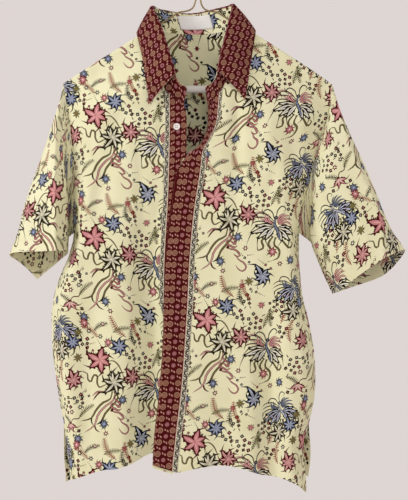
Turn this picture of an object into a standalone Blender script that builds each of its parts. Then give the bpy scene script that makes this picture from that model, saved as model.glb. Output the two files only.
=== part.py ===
"""Short-sleeved batik shirt that hangs on a wire hanger with a card tube.

Lengths are in millimetres until a mesh is made. +X is the wearer's left, +Y the
back of the shirt and +Z up. The origin is the inside of the hook's top, where
the rail that holds the hanger passes.
"""
import math

import bpy
import numpy as np

MM = 0.001

# Cloth
WALL = 1.2               # thickness of every cloth wall
SEAM_GAP = 0.3           # clear space between two pieces at a seam
SEAM_INSET = 0.23        # how far each piece stops short, which leaves that space at a bend
FLY_STEP = 4.0           # from the outer placket back to the fly strip
UNDER_STEP = 5.6         # from the outer placket back to the under placket

# Hanger
WIRE = 2.8               # wire diameter
HOOK_INSIDE = 18.0       # inner radius of the hook
TUBE_RADIUS = 6.3
TUBE_HALF = 204.0        # half the length of the card tube
TUBE_HEIGHT = -251.6
SHOULDER_SLOPE = 0.64    # fall of the wire's shoulders for each step outwards
WIRE_APEX = -98.6        # where the two sloping wires would meet, on X = 0
RIDGE_APEX = -93.5       # the same for the cloth that rests on them

# Heights of the torso's blocks of rows
UNDERARM = -498.0
VENT_TOP = -824.0

# Side edges: height, x on the wearer's right, x on the left, and how far the
# armhole's front and back edges stand from the middle plane.
SIDE_COLUMNS = ("z", "right_x", "left_x", "front_y", "back_y")
SIDE_ROWS = (
    (-241, -230, 230, 0, 0),
    (-249, -229, 228, -3, 4),
    (-280, -224, 225, -9, 11),
    (-340, -216, 207, -14, 18),
    (-408, -212, 190, -14, 18),
    (-462, -213, 178, -12, 15),
    (-486, -213, 175, -8, 12),
    (-498, -213, 173, 0, 0),
    (-529, -219, 173, 0, 0),
    (-571, -236, 175, 0, 0),
    (-602, -246, 178, 0, 0),
    (-646, -251, 189, 0, 0),
    (-687, -250, 197, 0, 0),
    (-741, -244, 201, 0, 0),
    (-782, -238, 199, 0, 0),
    (-824, -230, 190, 0, 0),
    (-858, -225, 181, -2, 3),
    (-885, -222, 181, -3, 6),
    (-912, -219, 184, -4, 8),
    (-942, -217, 185, -4, 8),
)
# The back's own side edges below the vents.
BACK_VENT_ROWS = (
    (-824, -230, 190),
    (-877, -230, 193),
    (-925, -227, 189),
)
# Depth of the front and back from the middle plane, and the width in which
# each side of the front turns back to its edge.
DEPTH_COLUMNS = ("z", "front", "back", "turn_right", "turn_left")
DEPTH_ROWS = (
    (-90, 16, 12, 40, 40),
    (-160, 24, 22, 40, 40),
    (-250, 38, 30, 46, 46),
    (-300, 41, 32, 60, 62),
    (-340, 43, 34, 64, 70),
    (-408, 45, 35, 42, 40),
    (-462, 46, 36, 26, 24),
    (-529, 46, 36, 20, 18),
    (-600, 46, 36, 26, 22),
    (-800, 44, 36, 28, 26),
    (-950, 42, 36, 28, 26),
)
BACK_TURN = 44.0         # the same width on the back
ROLL = 5.0               # radius of the cloth over the wire
SPREAD = 110.0           # drop below the wire in which the full depth is reached
NECK_BULGE = 12.0        # extra depth of the back at the neck
DROOP = 3.0              # fall of the wearer's left shoulder past the wire's end

# Soft folds: a line from top to bottom, its half width, how far it sinks (or
# stands out, where negative), and the lengths in which it starts and ends.
FOLD_COLUMNS = ("x_top", "z_top", "x_low", "z_low", "half_width", "sink", "start", "end")
FOLDS = {
    "front_right": (
        (-84, -400, -90, -960, 24, 13, 160, 1),
        (-128, -380, -150, -960, 26, -5, 200, 1),
        (-176, -560, -196, -960, 20, 6, 120, 1),
        (-120, -250, -190, -520, 18, 5, 90, 80),
    ),
    "front_left": (
        (70, -230, 66, -560, 20, 6, 100, 160),
        (104, -560, 126, -960, 24, 11, 180, 1),
        (150, -560, 166, -960, 20, -5, 160, 1),
        (30, -640, 40, -960, 26, 5, 160, 1),
        (110, -250, 156, -520, 16, -6, 80, 80),
    ),
    "back": (
        (-120, -220, -150, -960, 30, -8, 180, 1),
        (-60, -300, -74, -960, 26, 9, 200, 1),
        (8, -210, 14, -960, 32, -7, 160, 1),
        (84, -330, 96, -960, 26, 10, 220, 1),
        (140, -240, 150, -960, 26, -6, 180, 1),
        (-196, -480, -206, -960, 20, 6, 160, 1),
    ),
}

# Hems: x and height.
HEMS = {
    "front_right": ((-218, -920), (-192, -910), (-166, -901), (-133, -896),
                    (-105, -886), (-89, -877), (-74, -871)),
    "front_left": ((-34, -904), (3, -896), (41, -892), (76, -897),
                   (105, -907), (149, -916), (171, -927), (185, -942)),
    "back": ((-227, -925), (-150, -892), (-20, -870), (100, -884), (189, -916)),
}

# Plackets: height, x of the edge that is sewn to the front, x of the free
# edge, and how far the free edge lies behind the sewn one.
PLACKET_COLUMNS = ("z", "seam_x", "free_x", "free_back")
PLACKETS = {
    "placket_right": (
        (-256, -56, -24, 0),
        (-282, -56, -22, 0),
        (-309, -56, -19, 0),
        (-367, -57, -20, 0),
        (-452, -60, -22, 0),
        (-507, -63, -26, 0),
        (-612, -65, -28, 0),
        (-640, -60, -23, 0),
        (-663, -57, -20, 0),
        (-758, -63, -26, 0),
        (-853, -73, -36, 0),
        (-890, -74, -37, 0),
    ),
    "placket_left": (
        (-252, 42, 14, 10),
        (-286, 39, 17, 20),
        (-306, 37, 17, 24),
        (-336, 24, 10, 20),
        (-352, 15, 0, 5),
        (-360, 14, -10, 0),
        (-368, 14, -19, 0),
        (-391, 12, -34, 0),
        (-452, 3, -46, 0),
        (-544, -5, -56, 0),
        (-612, -8, -58, 0),
        (-663, -11, -59, 0),
        (-758, -18, -65, 0),
        (-853, -29, -75, 0),
        (-906, -34, -77, 0),
    ),
}
PLACKET_FOOT = {"placket_right": (-871, -888), "placket_left": (-904, -891)}
PLACKET_STEPS = 3
FLY_TOP = -358.0
FLY_LIP = 2.2            # how far the fly strip shows past the outer placket
FLY_SEAM_SIDE = 8.0      # how far it stays inside the placket's seam

# Neckline of each front from the shoulder's neck point to the placket.
NECKLINES = {
    "front_right": ((-84, -147), (-82, -173), (-73, -207), (-56, -256)),
    "front_left": ((74, -141), (71, -173), (64, -207), (42, -252)),
}
BACK_NECK = ((-84, -147), (-62, -152), (-8, -155), (44, -151), (74, -141))
PLACKET_TOPS = {"placket_right": (-24, -280), "placket_left": (17, -286)}

# The collar's stations run along the neck seam: 0 is the free end on the wearer's
# right, 1 the placket's seam, 2 the neck point on the shoulder, 3 the middle of
# the back, and 4, 5 and 6 the same places on the left. NECK_PARTS and BACK_PARTS
# say where a front's neckline and the back's are divided, from the neck point.
NECK_PARTS = (0, 0.06, 0.35, 0.67, 1)
BACK_PARTS = (0, 0.035, 0.14, 0.26, 0.38, 0.5, 0.62, 0.74, 0.86, 0.965, 1)
LEAF_FIRST = 1
LEAF_LAST = 5
# Roll line of the collar: station, x, y and height.
ROLL_ROWS = (
    (0, -18, -42, -253),
    (1, -38, -46, -231),
    (1.5, -52, -36, -184),
    (1.75, -62, -21, -150),
    (2, -75, -3, -118),
    (2.5, -60, 19, -115),
    (3, -14, 33, -120),
    (3.5, 30, 22, -114),
    (3.75, 49, 11, -111),
    (4, 58, -2, -112),
    (4.25, 50, -21, -150),
    (4.5, 42, -36, -186),
    (5, 32, -46, -229),
    (6, 12, -41, -252),
)
# Outer edge of the collar's leaf: station, x and height.
LEAF_ROWS = (
    (1, -82, -280),
    (1.25, -88, -240),
    (1.5, -94, -203),
    (1.75, -100, -177),
    (2, -105, -154),
    (2.25, -96, -162),
    (2.5, -74, -168),
    (3, -12, -169),
    (3.5, 52, -166),
    (3.75, 86, -159),
    (4, 98, -150),
    (4.25, 95, -175),
    (4.5, 90, -205),
    (4.75, 85, -240),
    (5, 80, -274),
)
LEAF_CLEAR = 5.0         # from the leaf's edge to the panel under it
# The leaf's roll over the stand, as steps up and out from the roll line.
LEAF_ROLL = ((2.4, 0.8), (3.4, 3.0), (2.2, 5.4))
LEAF_FALL_STEPS = 4

# Sleeves: named points round each section, from the pressed top crease by the
# front to the underarm seam and by the back to the crease again.
SLEEVE_COLUMNS = ("crease", "front", "inner", "under", "back", "low", "outer")
SLEEVES = {
    "sleeve_right": (
        ((-241, -34, -323), (-229, -30, -357), (-225, -8, -430), (-232, 22, -514),
         (-252, 42, -446), (-260, 36, -384), (-262, 4, -344)),
        ((-241, -50, -425), (-224, -30, -442), (-227, 16, -486), (-254, 52, -547),
         (-274, 56, -504), (-289, 38, -468), (-297, 4, -449)),
        ((-239, -60, -528), (-222, -20, -530), (-240, 38, -545), (-282, 74, -578),
         (-296, 60, -562), (-311, 34, -547), (-323, 2, -536)),
    ),
    "sleeve_left": (
        ((262, -34, -357), (222, -38, -384), (194, -20, -446), (197, 14, -518),
         (206, 34, -450), (250, 36, -382), (280, 4, -371)),
        ((306, -48, -464), (258, -46, -484), (195, -24, -510), (208, 6, -552),
         (233, 38, -536), (289, 42, -496), (325, 4, -481)),
        ((316, -56, -539), (272, -46, -570), (245, -28, -593), (230, 2, -602),
         (264, 38, -592), (323, 44, -570), (355, 2, -528)),
    ),
}
SLEEVE_STEPS = (4, 3, 3)
HALF_RING = 11           # edges from the shoulder point to the underarm

# Columns of a front, as parts of the way from its side to its placket.
FRONT_COLUMNS = (0, 0.035, 0.08, 0.14, 0.22, 0.32, 0.43, 0.54, 0.64, 0.73, 0.79, 0.86, 0.93, 1)
SHOULDER_EDGES = 9
UPPER_ROWS = (0, 0.022, 0.1, 0.2, 0.3, 0.4, 0.5, 0.6, 0.7, 0.8, 0.9, 1)
MIDDLE_STEPS = 9
LOWER_STEPS = 3

# Buttons: 18-line shell buttons, one every 85 mm below the top one.
BUTTON_RADIUS = 5.7
BUTTON_THICK = 2.2
TOP_BUTTON = -318.0
BUTTON_PITCH = 85.0
BUTTON_COUNT = 7

LABEL_WIDTH = 58.0
LABEL_CENTRE = -5.0
LABEL_TOP = 0.8          # parts of the stand's height
LABEL_FOOT = 0.16
LABEL_THICK = 1.0

CREAM = (0.76, 0.69, 0.41, 1)
MAROON = (0.10, 0.012, 0.016, 1)
PEARL = (0.82, 0.78, 0.74, 1)
CARD = (0.80, 0.77, 0.70, 1)
STEEL = (0.55, 0.50, 0.42, 1)
WHITE = (0.84, 0.82, 0.80, 1)


# Curves and smooth steps

def through(knots, values, where, level=False):
    """Smooth curve through values at steadily rising or falling knots.

    With level set it never passes beyond the values on its two sides.
    """
    knots = np.asarray(knots, float)
    values = np.asarray(values, float)
    if knots[0] > knots[-1]:
        knots = knots[::-1]
        values = values[::-1]
    slopes = np.gradient(values, knots, axis=0)
    if level:
        steps = np.diff(values) / np.diff(knots)
        before = np.concatenate([[0], steps])
        after = np.concatenate([steps, [0]])
        limit = 3 * np.minimum(np.abs(before), np.abs(after)) * (before * after > 0)
        slopes = np.clip(slopes, -limit, limit)
    place = np.clip(np.asarray(where, float), knots[0], knots[-1])
    low = np.clip(np.searchsorted(knots, place) - 1, 0, len(knots) - 2)
    span = knots[low + 1] - knots[low]
    part = (place - knots[low]) / span
    if values.ndim > 1:
        span = span[..., None]
        part = part[..., None]
    rest = 1 - part
    return ((1 + 2 * part) * rest ** 2 * values[low] + part * rest ** 2 * span * slopes[low]
            + part ** 2 * (3 - 2 * part) * values[low + 1]
            - part ** 2 * rest * span * slopes[low + 1])


def column(rows, names, name, height):
    """One column of a table whose first column is the height."""
    data = np.asarray(rows, float)
    return through(data[:, 0], data[:, names.index(name)], height, level=True)


def trace(points, count):
    """Points along a smooth curve through the given ones.

    count is the number of equal steps, or the parts of the length to stop at.
    """
    points = np.asarray(points, float)
    chords = np.linalg.norm(np.diff(points, axis=0), axis=1)
    knots = np.concatenate(([0], np.cumsum(chords)))
    fine = through(knots, points, np.linspace(0, knots[-1], 40 * len(points)))
    run = np.concatenate(([0], np.cumsum(np.linalg.norm(np.diff(fine, axis=0), axis=1))))
    parts = np.linspace(0, 1, count + 1) if isinstance(count, int) else np.asarray(count)
    stops = parts * run[-1]
    return np.stack([np.interp(stops, run, fine[:, axis]) for axis in range(points.shape[1])], axis=1)


def smooth_step(value):
    value = np.clip(value, 0, 1)
    return value * value * (3 - 2 * value)


# The shirt's form

def ridge(x):
    """Height of the cloth over the hanger's wire."""
    past_wire = np.clip((x - 190) / 40, 0, None)
    return RIDGE_APEX - SHOULDER_SLOPE * np.abs(x) - DROOP * past_wire ** 2


def folds(name, x, z):
    """How far the folds of one panel push it towards the middle plane."""
    sink = np.zeros_like(x)
    for row in FOLDS[name]:
        fold = dict(zip(FOLD_COLUMNS, row))
        fall = (fold["z_top"] - z) / (fold["z_top"] - fold["z_low"])
        line = fold["x_top"] + (fold["x_low"] - fold["x_top"]) * fall
        starts = smooth_step((fold["z_top"] - z) / fold["start"])
        ends = smooth_step((z - fold["z_low"]) / fold["end"])
        across = np.exp(-((x - line) / fold["half_width"]) ** 2)
        sink = sink + fold["sink"] * starts * ends * across
    return sink


def depth_below_wire(x, z, full):
    """Half thickness of the shirt, growing from the roll over the wire."""
    drop = np.clip(ridge(x) - z, 0, None)
    roll = ROLL * np.sqrt(1 - (1 - np.clip(drop / ROLL, 0, 1)) ** 2)
    return roll + (full - ROLL) * smooth_step(drop / SPREAD)


def turn(distance, width):
    """0 at a panel's side edge, 1 where its face is reached."""
    return 1 - (1 - np.clip(distance / width, 0, 1)) ** 2


def front_y(x, z):
    """Face that both fronts and the plackets share."""
    full = column(DEPTH_ROWS, DEPTH_COLUMNS, "front", z)
    face = -depth_below_wire(x, z, full)
    edge = column(SIDE_ROWS, SIDE_COLUMNS, "front_y", z)
    right = x - column(SIDE_ROWS, SIDE_COLUMNS, "right_x", z)
    left = column(SIDE_ROWS, SIDE_COLUMNS, "left_x", z) - x
    rise = turn(right, column(DEPTH_ROWS, DEPTH_COLUMNS, "turn_right", z))
    rise = rise * turn(left, column(DEPTH_ROWS, DEPTH_COLUMNS, "turn_left", z))
    return edge + (face - edge) * rise


def back_y(x, z):
    full = column(DEPTH_ROWS, DEPTH_COLUMNS, "back", z)
    neck = NECK_BULGE * np.exp(-((x + 6) / 60) ** 2 - ((z + 150) / 70) ** 2)
    drop = np.clip(ridge(x) - z, 0, None)
    face = depth_below_wire(x, z, full) + neck * smooth_step(drop / 40)
    edge = column(SIDE_ROWS, SIDE_COLUMNS, "back_y", z)
    right_x, left_x = side_edges("back", z)
    rise = turn(x - right_x, BACK_TURN) * turn(left_x - x, BACK_TURN)
    return edge + (face - edge) * rise - folds("back", x, z) * rise


def side_edges(name, z):
    right_x = column(SIDE_ROWS, SIDE_COLUMNS, "right_x", z)
    left_x = column(SIDE_ROWS, SIDE_COLUMNS, "left_x", z)
    if name == "back":
        vent = np.asarray(BACK_VENT_ROWS, float)
        below = np.asarray(z) < VENT_TOP
        right_x = np.where(below, through(vent[:, 0], vent[:, 1], z, level=True), right_x)
        left_x = np.where(below, through(vent[:, 0], vent[:, 2], z, level=True), left_x)
    return right_x, left_x


def placket_x(name, edge, z):
    return column(PLACKETS[name], PLACKET_COLUMNS, edge, z)


def under_step(x, z):
    """How far the wearer's right front lies back, where the left one laps over it."""
    seam = placket_x("placket_right", "seam_x", z)
    return UNDER_STEP * smooth_step((x - seam + 55) / 50) * smooth_step((-170 - z) / 80)


def panel_point(name, x, z):
    if name == "back":
        return np.stack([x, back_y(x, z), z], axis=-1)
    y = front_y(x, z)
    right_x, left_x = side_edges(name, z)
    if name == "front_right":
        y = y + folds(name, x, z) * turn(x - right_x, 30) + under_step(x, z)
    else:
        seam = placket_x("placket_left", "seam_x", z)
        y = y + folds(name, x, z) * turn(left_x - x, 30) * smooth_step((x - seam) / 30)
    return np.stack([x, y, z], axis=-1)


# Panels as grids of points: rows from top to bottom

def fan_grid(tops, parts, left_edge, right_edge, hem):
    """Heights and x of a panel's rows: a fan to the underarm, then even rows.

    left_edge and right_edge give the x of the panel's two sides at a height.
    """
    parts = np.asarray(parts, float)
    left_ref = left_edge(UNDERARM)
    right_ref = right_edge(UNDERARM)
    foot = left_ref + (right_ref - left_ref) * parts
    rows = [tops]
    for step in UPPER_ROWS[1:]:
        z = tops[:, 1] + (UNDERARM - tops[:, 1]) * step
        x = tops[:, 0] + (foot - tops[:, 0]) * step
        left_line = tops[0, 0] + (left_ref - tops[0, 0]) * step
        right_line = tops[-1, 0] + (right_ref - tops[-1, 0]) * step
        x = x + (1 - parts) ** 2 * (left_edge(z[0]) - left_line)
        x = x + parts ** 2 * (right_edge(z[-1]) - right_line)
        rows.append(np.stack([x, z], axis=1))
    levels = [UNDERARM + (VENT_TOP - UNDERARM) * step / MIDDLE_STEPS
              for step in range(1, MIDDLE_STEPS + 1)]
    for level in levels:
        x = left_edge(level) + (right_edge(level) - left_edge(level)) * parts
        rows.append(np.stack([x, np.full_like(x, level)], axis=1))
    hem = np.asarray(hem, float)
    x_hem = hem[0, 0] + (hem[-1, 0] - hem[0, 0]) * parts
    z_hem = through(hem[:, 0], hem[:, 1], x_hem)
    for step in range(1, LOWER_STEPS + 1):
        z = VENT_TOP + (z_hem - VENT_TOP) * step / LOWER_STEPS
        x = left_edge(z) + (right_edge(z) - left_edge(z)) * parts
        rows.append(np.stack([x, z], axis=1))
    return np.array(rows)


def shoulder_line(side):
    """Seam from the shoulder point to the neck, on the cloth's ridge."""
    edge = "right_x" if side < 0 else "left_x"
    outer = SIDE_ROWS[0][SIDE_COLUMNS.index(edge)]
    neck = NECKLINES["front_right" if side < 0 else "front_left"][0][0]
    x = np.linspace(outer, neck, SHOULDER_EDGES + 1)
    return np.stack([x, ridge(x)], axis=1)


def front_grid(name):
    side = -1 if name == "front_right" else 1
    placket = "placket_right" if side < 0 else "placket_left"
    line = shoulder_line(side)
    neck = np.array(NECKLINES[name], float)
    neck[0] = line[-1]
    tops = np.vstack([line, trace(neck, NECK_PARTS)[1:]])
    which = 0 if side < 0 else 1
    plane = fan_grid(tops, FRONT_COLUMNS,
                     lambda z: side_edges(name, z)[which],
                     lambda z: placket_x(placket, "seam_x", z),
                     sorted(HEMS[name], key=lambda point: -side * point[0]))
    points = panel_point(name, plane[..., 0], plane[..., 1])
    points[0, :SHOULDER_EDGES + 1, 1] = 0
    return points


def back_grid():
    right = shoulder_line(-1)
    left = shoulder_line(1)[::-1]
    neck = np.array(BACK_NECK, float)
    neck[0] = right[-1]
    neck[-1] = left[0]
    tops = np.vstack([right, trace(neck, BACK_PARTS)[1:-1], left])
    shoulder = np.array(FRONT_COLUMNS[:SHOULDER_EDGES + 1]) * 0.46
    middle = shoulder[-1] + (1 - 2 * shoulder[-1]) * np.array(BACK_PARTS[1:-1])
    parts = np.concatenate([shoulder, middle, 1 - shoulder[::-1]])
    plane = fan_grid(tops, parts,
                     lambda z: side_edges("back", z)[0],
                     lambda z: side_edges("back", z)[1],
                     HEMS["back"])
    points = panel_point("back", plane[..., 0], plane[..., 1])
    points[0, :SHOULDER_EDGES + 1, 1] = 0
    points[0, -SHOULDER_EDGES - 1:, 1] = 0
    return points


def placket_point(name, part, z, back=0.0):
    """Point of a placket, part of the way from its seam to its free edge."""
    seam_x = placket_x(name, "seam_x", z)
    free_x = placket_x(name, "free_x", z)
    x = seam_x + (free_x - seam_x) * part
    y = front_y(x, z) + placket_x(name, "free_back", z) * part ** 1.5 + back
    if name == "placket_right":
        y = y + under_step(seam_x, z)
    return np.stack([x, y, z], axis=-1)


def placket_grid(name, front):
    """The placket takes the front's seam points and runs to its free edge."""
    seam = front[:, -1]
    top_x, top_z = PLACKET_TOPS[name]
    foot = PLACKET_FOOT[name]
    columns = [seam]
    for step in range(1, PLACKET_STEPS + 1):
        part = step / PLACKET_STEPS
        top = seam[0, 2] + (top_z - seam[0, 2]) * part
        low = foot[0] + (foot[1] - foot[0]) * part
        z = top + (seam[:, 2] - seam[0, 2]) * (low - top) / (seam[-1, 2] - seam[0, 2])
        columns.append(placket_point(name, part, z))
    grid = np.stack(columns, axis=1)
    free_top = placket_x(name, "free_x", top_z)
    grid[0, :, 0] += (top_x - free_top) * np.linspace(0, 1, PLACKET_STEPS + 1) ** 2
    return grid


def fly_grid(front):
    """Strip behind the outer placket, which carries the buttonholes."""
    seam = front[:, -1]
    inside = seam[:, 2] < FLY_TOP
    heights = np.concatenate([[FLY_TOP], seam[inside, 2]])
    columns = []
    for part in (0, 0.5, 1):
        z = heights.copy()
        z[-1] = PLACKET_FOOT["placket_left"][0] + part * 11 - 3
        seam_x = placket_x("placket_left", "seam_x", z) - FLY_SEAM_SIDE
        free_x = placket_x("placket_left", "free_x", z)
        lip = FLY_LIP * smooth_step((z + 400) / 40)
        x = seam_x + (free_x - lip - seam_x) * part
        placket_seam = placket_x("placket_left", "seam_x", z)
        across = np.clip((x - placket_seam) / (free_x - placket_seam), 0, 1)
        points = placket_point("placket_left", across, z, FLY_STEP)
        points[:, 0] = x
        columns.append(points)
    return np.stack(columns, axis=1)


def sleeve_grid(name, front_edge, back_edge):
    """Tube from the armhole through each section of the table to the hem."""
    rings = [np.vstack([front_edge, back_edge[-2:0:-1]])]
    crease = SLEEVE_COLUMNS.index("crease")
    under = SLEEVE_COLUMNS.index("under")
    for section in SLEEVES[name]:
        points = np.array(section, float)
        front_half = trace(points[crease:under + 1], HALF_RING)
        back_half = trace(np.vstack([points[under:], points[:1]]), HALF_RING)
        rings.append(np.vstack([front_half, back_half[1:-1]]))
    rings = np.array(rings)
    knots = np.arange(len(rings), dtype=float)
    stops = np.concatenate([[0]] + [np.arange(1, count + 1) / count + index
                                    for index, count in enumerate(SLEEVE_STEPS)])
    flat = through(knots, rings.reshape(len(rings), -1), stops)
    return flat.reshape(len(stops), -1, 3)


def collar_grids(base):
    """Stand and leaf over the neck seam's points."""
    fronts = np.array(NECK_PARTS)
    stations = np.concatenate([np.arange(PLACKET_STEPS) / PLACKET_STEPS, 2 - fronts[::-1],
                               2 + 2 * np.array(BACK_PARTS[1:]), 4 + fronts[1:],
                               5 + np.arange(1, PLACKET_STEPS + 1) / PLACKET_STEPS])
    data = np.array(ROLL_ROWS, float)
    top = through(data[:, 0], data[:, 1:], stations)
    stand = np.stack([base + (top - base) * step / 3 for step in range(4)])
    under_leaf = (stations > LEAF_FIRST - 0.01) & (stations < LEAF_LAST + 0.01)
    leaf_stations = stations[under_leaf]
    data = np.array(LEAF_ROWS, float)
    plan = through(data[:, 0], data[:, 1:], leaf_stations)
    edge = np.zeros((len(plan), 3))
    edge[:, 0] = plan[:, 0]
    edge[:, 2] = plan[:, 1]
    shoulders = (2, 4)
    for index, station in enumerate(leaf_stations):
        x, z = plan[index]
        if min(abs(station - place) for place in shoulders) < 0.01:
            edge[index, 1] = 0
        elif shoulders[0] < station < shoulders[1]:
            edge[index, 1] = back_y(x, z) + LEAF_CLEAR
        else:
            edge[index, 1] = front_y(x, z) - LEAF_CLEAR
    roll = top[under_leaf]
    up = roll - base[under_leaf]
    up = up / np.linalg.norm(up, axis=1)[:, None]
    out = edge - roll
    out = out - (out * up).sum(axis=1)[:, None] * up
    out = out / np.linalg.norm(out, axis=1)[:, None]
    rows = [roll]
    for rise, reach in LEAF_ROLL:
        rows.append(roll + up * rise + out * reach)
    start = rows[-1]
    for step in range(1, LEAF_FALL_STEPS + 1):
        part = step / LEAF_FALL_STEPS
        rows.append(start + (edge - start) * part + out * 2.0 * math.sin(math.pi * part))
    return stand, np.array(rows)


# Walls

def grid_faces(rows, columns, ring=False):
    faces = []
    count = columns if ring else columns - 1
    for row in range(rows - 1):
        for col in range(count):
            nearby = (col + 1) % columns
            faces.append((row * columns + col, row * columns + nearby,
                          (row + 1) * columns + nearby, (row + 1) * columns + col))
    return faces


def oriented(points, faces, outward):
    """Faces turned so that most of them look along the outward vectors."""
    corners = points[np.array(faces)]
    normals = np.cross(corners[:, 2] - corners[:, 0], corners[:, 3] - corners[:, 1])
    facing = (normals * outward(corners.mean(axis=1))).sum()
    return faces if facing > 0 else [face[::-1] for face in faces]


def place_key(point):
    return tuple(np.round(point, 2) + 0.0)


def shared_normals(sheets):
    """Mean of the sheets' own normals at each place, and its mitre."""
    meeting = {}
    for sheet in sheets:
        corners = sheet["points"][np.array(sheet["faces"])]
        normals = np.cross(corners[:, 2] - corners[:, 0], corners[:, 3] - corners[:, 1])
        sums = np.zeros_like(sheet["points"])
        for face, normal in zip(sheet["faces"], normals):
            for index in face:
                sums[index] += normal
        sums = sums / np.linalg.norm(sums, axis=1)[:, None]
        for point, unit in zip(sheet["points"], sums):
            meeting.setdefault(place_key(point), []).append(unit)
    result = {}
    for key, units in meeting.items():
        units = np.array(units)
        mean = units.mean(axis=0)
        mean = mean / np.linalg.norm(mean)
        result[key] = (mean, 1 / max(float((units @ mean).mean()), 0.75))
    return result


def edge_loops(faces):
    """Directed edges that only one face uses."""
    edges = set()
    for face in faces:
        for index in range(4):
            edges.add((face[index], face[(index + 1) % 4]))
    return [edge for edge in edges if (edge[1], edge[0]) not in edges]


def wall(sheet, normals):
    """Closed wall around a sheet, a little short of its own edges.

    A Solidify modifier works on one piece at a time. Here the pieces share the
    normals along their seams, so their walls meet there in a mitre.
    """
    points = sheet["points"]
    faces = sheet["faces"]
    lookup = [normals[place_key(point)] for point in points]
    normal = np.array([entry[0] for entry in lookup])
    mitre = np.array([entry[1] for entry in lookup])
    rim = sorted(edge_loops(faces))
    inward = np.zeros_like(points)
    for start, end in rim:
        along = points[end] - points[start]
        across = np.cross(normal[start] + normal[end], along)
        across = across / np.linalg.norm(across)
        inward[start] += across
        inward[end] += across
    corner = 2 / np.maximum((inward ** 2).sum(axis=1), 1)
    middle = points + inward * (SEAM_INSET * mitre * corner)[:, None]
    shift = normal * (WALL / 2 * mitre)[:, None]
    count = len(points)
    vertices = np.vstack([middle + shift, middle - shift])
    all_faces = list(faces)
    all_faces += [tuple(index + count for index in face[::-1]) for face in faces]
    for start, end in rim:
        # Both pieces at a seam split its twisted edge faces along the same diagonal.
        if place_key(points[start]) < place_key(points[end]):
            all_faces += [(end, start, end + count), (start, start + count, end + count)]
        else:
            all_faces += [(end, start, start + count), (end, start + count, end + count)]
    return vertices, all_faces


# Blender objects

def material(name, colour, roughness, metallic=0.0):
    made = bpy.data.materials.new(name)
    made.use_nodes = True
    shader = made.node_tree.nodes["Principled BSDF"]
    shader.inputs["Base Color"].default_value = colour
    shader.inputs["Roughness"].default_value = roughness
    shader.inputs["Metallic"].default_value = metallic
    return made


def add_mesh(name, vertices, faces, look, collection):
    mesh = bpy.data.meshes.new(name)
    mesh.from_pydata((np.asarray(vertices) * MM).tolist(), [], faces)
    mesh.materials.append(look)
    mesh.shade_smooth()
    made = bpy.data.objects.new(name, mesh)
    collection.objects.link(made)
    return made


def add_wire(name, points, radius, look, collection):
    curve = bpy.data.curves.new(name, "CURVE")
    curve.dimensions = "3D"
    curve.bevel_depth = radius * MM
    curve.bevel_resolution = 2
    curve.use_fill_caps = True
    spline = curve.splines.new("POLY")
    spline.points.add(len(points) - 1)
    for point, place in zip(spline.points, points):
        point.co = (*(np.asarray(place) * MM), 1)
    curve.materials.append(look)
    made = bpy.data.objects.new(name, curve)
    collection.objects.link(made)
    return made


def turned(name, profile, steps, look, collection):
    """Closed profile of (radius, height) points turned about Z."""
    mesh = bpy.data.meshes.new(name)
    vertices = [(radius * MM, 0, height * MM) for radius, height in profile]
    on_axis = profile[0][0] == 0
    edges = [(index, index + 1) for index in range(len(profile) - 1)]
    if not on_axis:
        edges.append((len(profile) - 1, 0))
    mesh.from_pydata(vertices, edges, [])
    mesh.materials.append(look)
    made = bpy.data.objects.new(name, mesh)
    collection.objects.link(made)
    screw = made.modifiers.new("Turn", "SCREW")
    screw.steps = steps
    screw.render_steps = steps
    screw.use_merge_vertices = True
    screw.merge_threshold = 0.00001
    return made


# Hanger

def hook_route():
    """Inside of the right wire's top, its neck and the hook."""
    radius = HOOK_INSIDE + WIRE / 2
    turn_points = []
    for step in range(17):
        angle = math.radians(-40 + 245 * step / 16)
        turn_points.append((radius * math.cos(angle), 0,
                            radius * math.sin(angle) - HOOK_INSIDE))
    return [(0, 0, -62), (0.6, 0, -52), (4, 0, -43), (9, 0, -37)] + turn_points


def wire_end(side):
    """Wire from inside the tube round its end to the foot of the shoulder's slope."""
    foot = 198.0
    foot_z = WIRE_APEX - SHOULDER_SLOPE * foot
    points = [(x, TUBE_HEIGHT) for x in (178, 190, 198, 204, 207)]
    points += [(211, TUBE_HEIGHT + 2.6), (213, -243.5), (211.5, foot_z - 13.5), (206, foot_z - 6)]
    points += [(x, WIRE_APEX - SHOULDER_SLOPE * x) for x in (foot, 192, 186)]
    return refine([(side * x, 0, z) for x, z in points], 4)


def wire_shoulder(side, neck):
    """Wire from the top of the slope, over the shoulder and up to the neck."""
    points = [(x, WIRE_APEX - SHOULDER_SLOPE * x) for x in (46, 40, 34)]
    points += [(20, -117.8), (11, -114.2), (6.5, -108), (4.4, -100)]
    return refine([(side * x, 0, z) for x, z in points] + neck, 5)


def wrap_route():
    """Turns of the left wire round the right one's neck, from the top down."""
    radius = WIRE + 0.35
    pitch = WIRE + 0.5
    turns = 4
    per_turn = 14
    route = []
    for step in range(turns * per_turn + 1):
        angle = 2 * math.pi * step / per_turn
        route.append((radius * math.cos(angle), radius * math.sin(angle),
                      -66 - pitch * step / per_turn))
    return route


def refine(points, spacing):
    points = np.asarray(points, float)
    length = np.linalg.norm(np.diff(points, axis=0), axis=1).sum()
    return trace(points, int(length / spacing))


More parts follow.
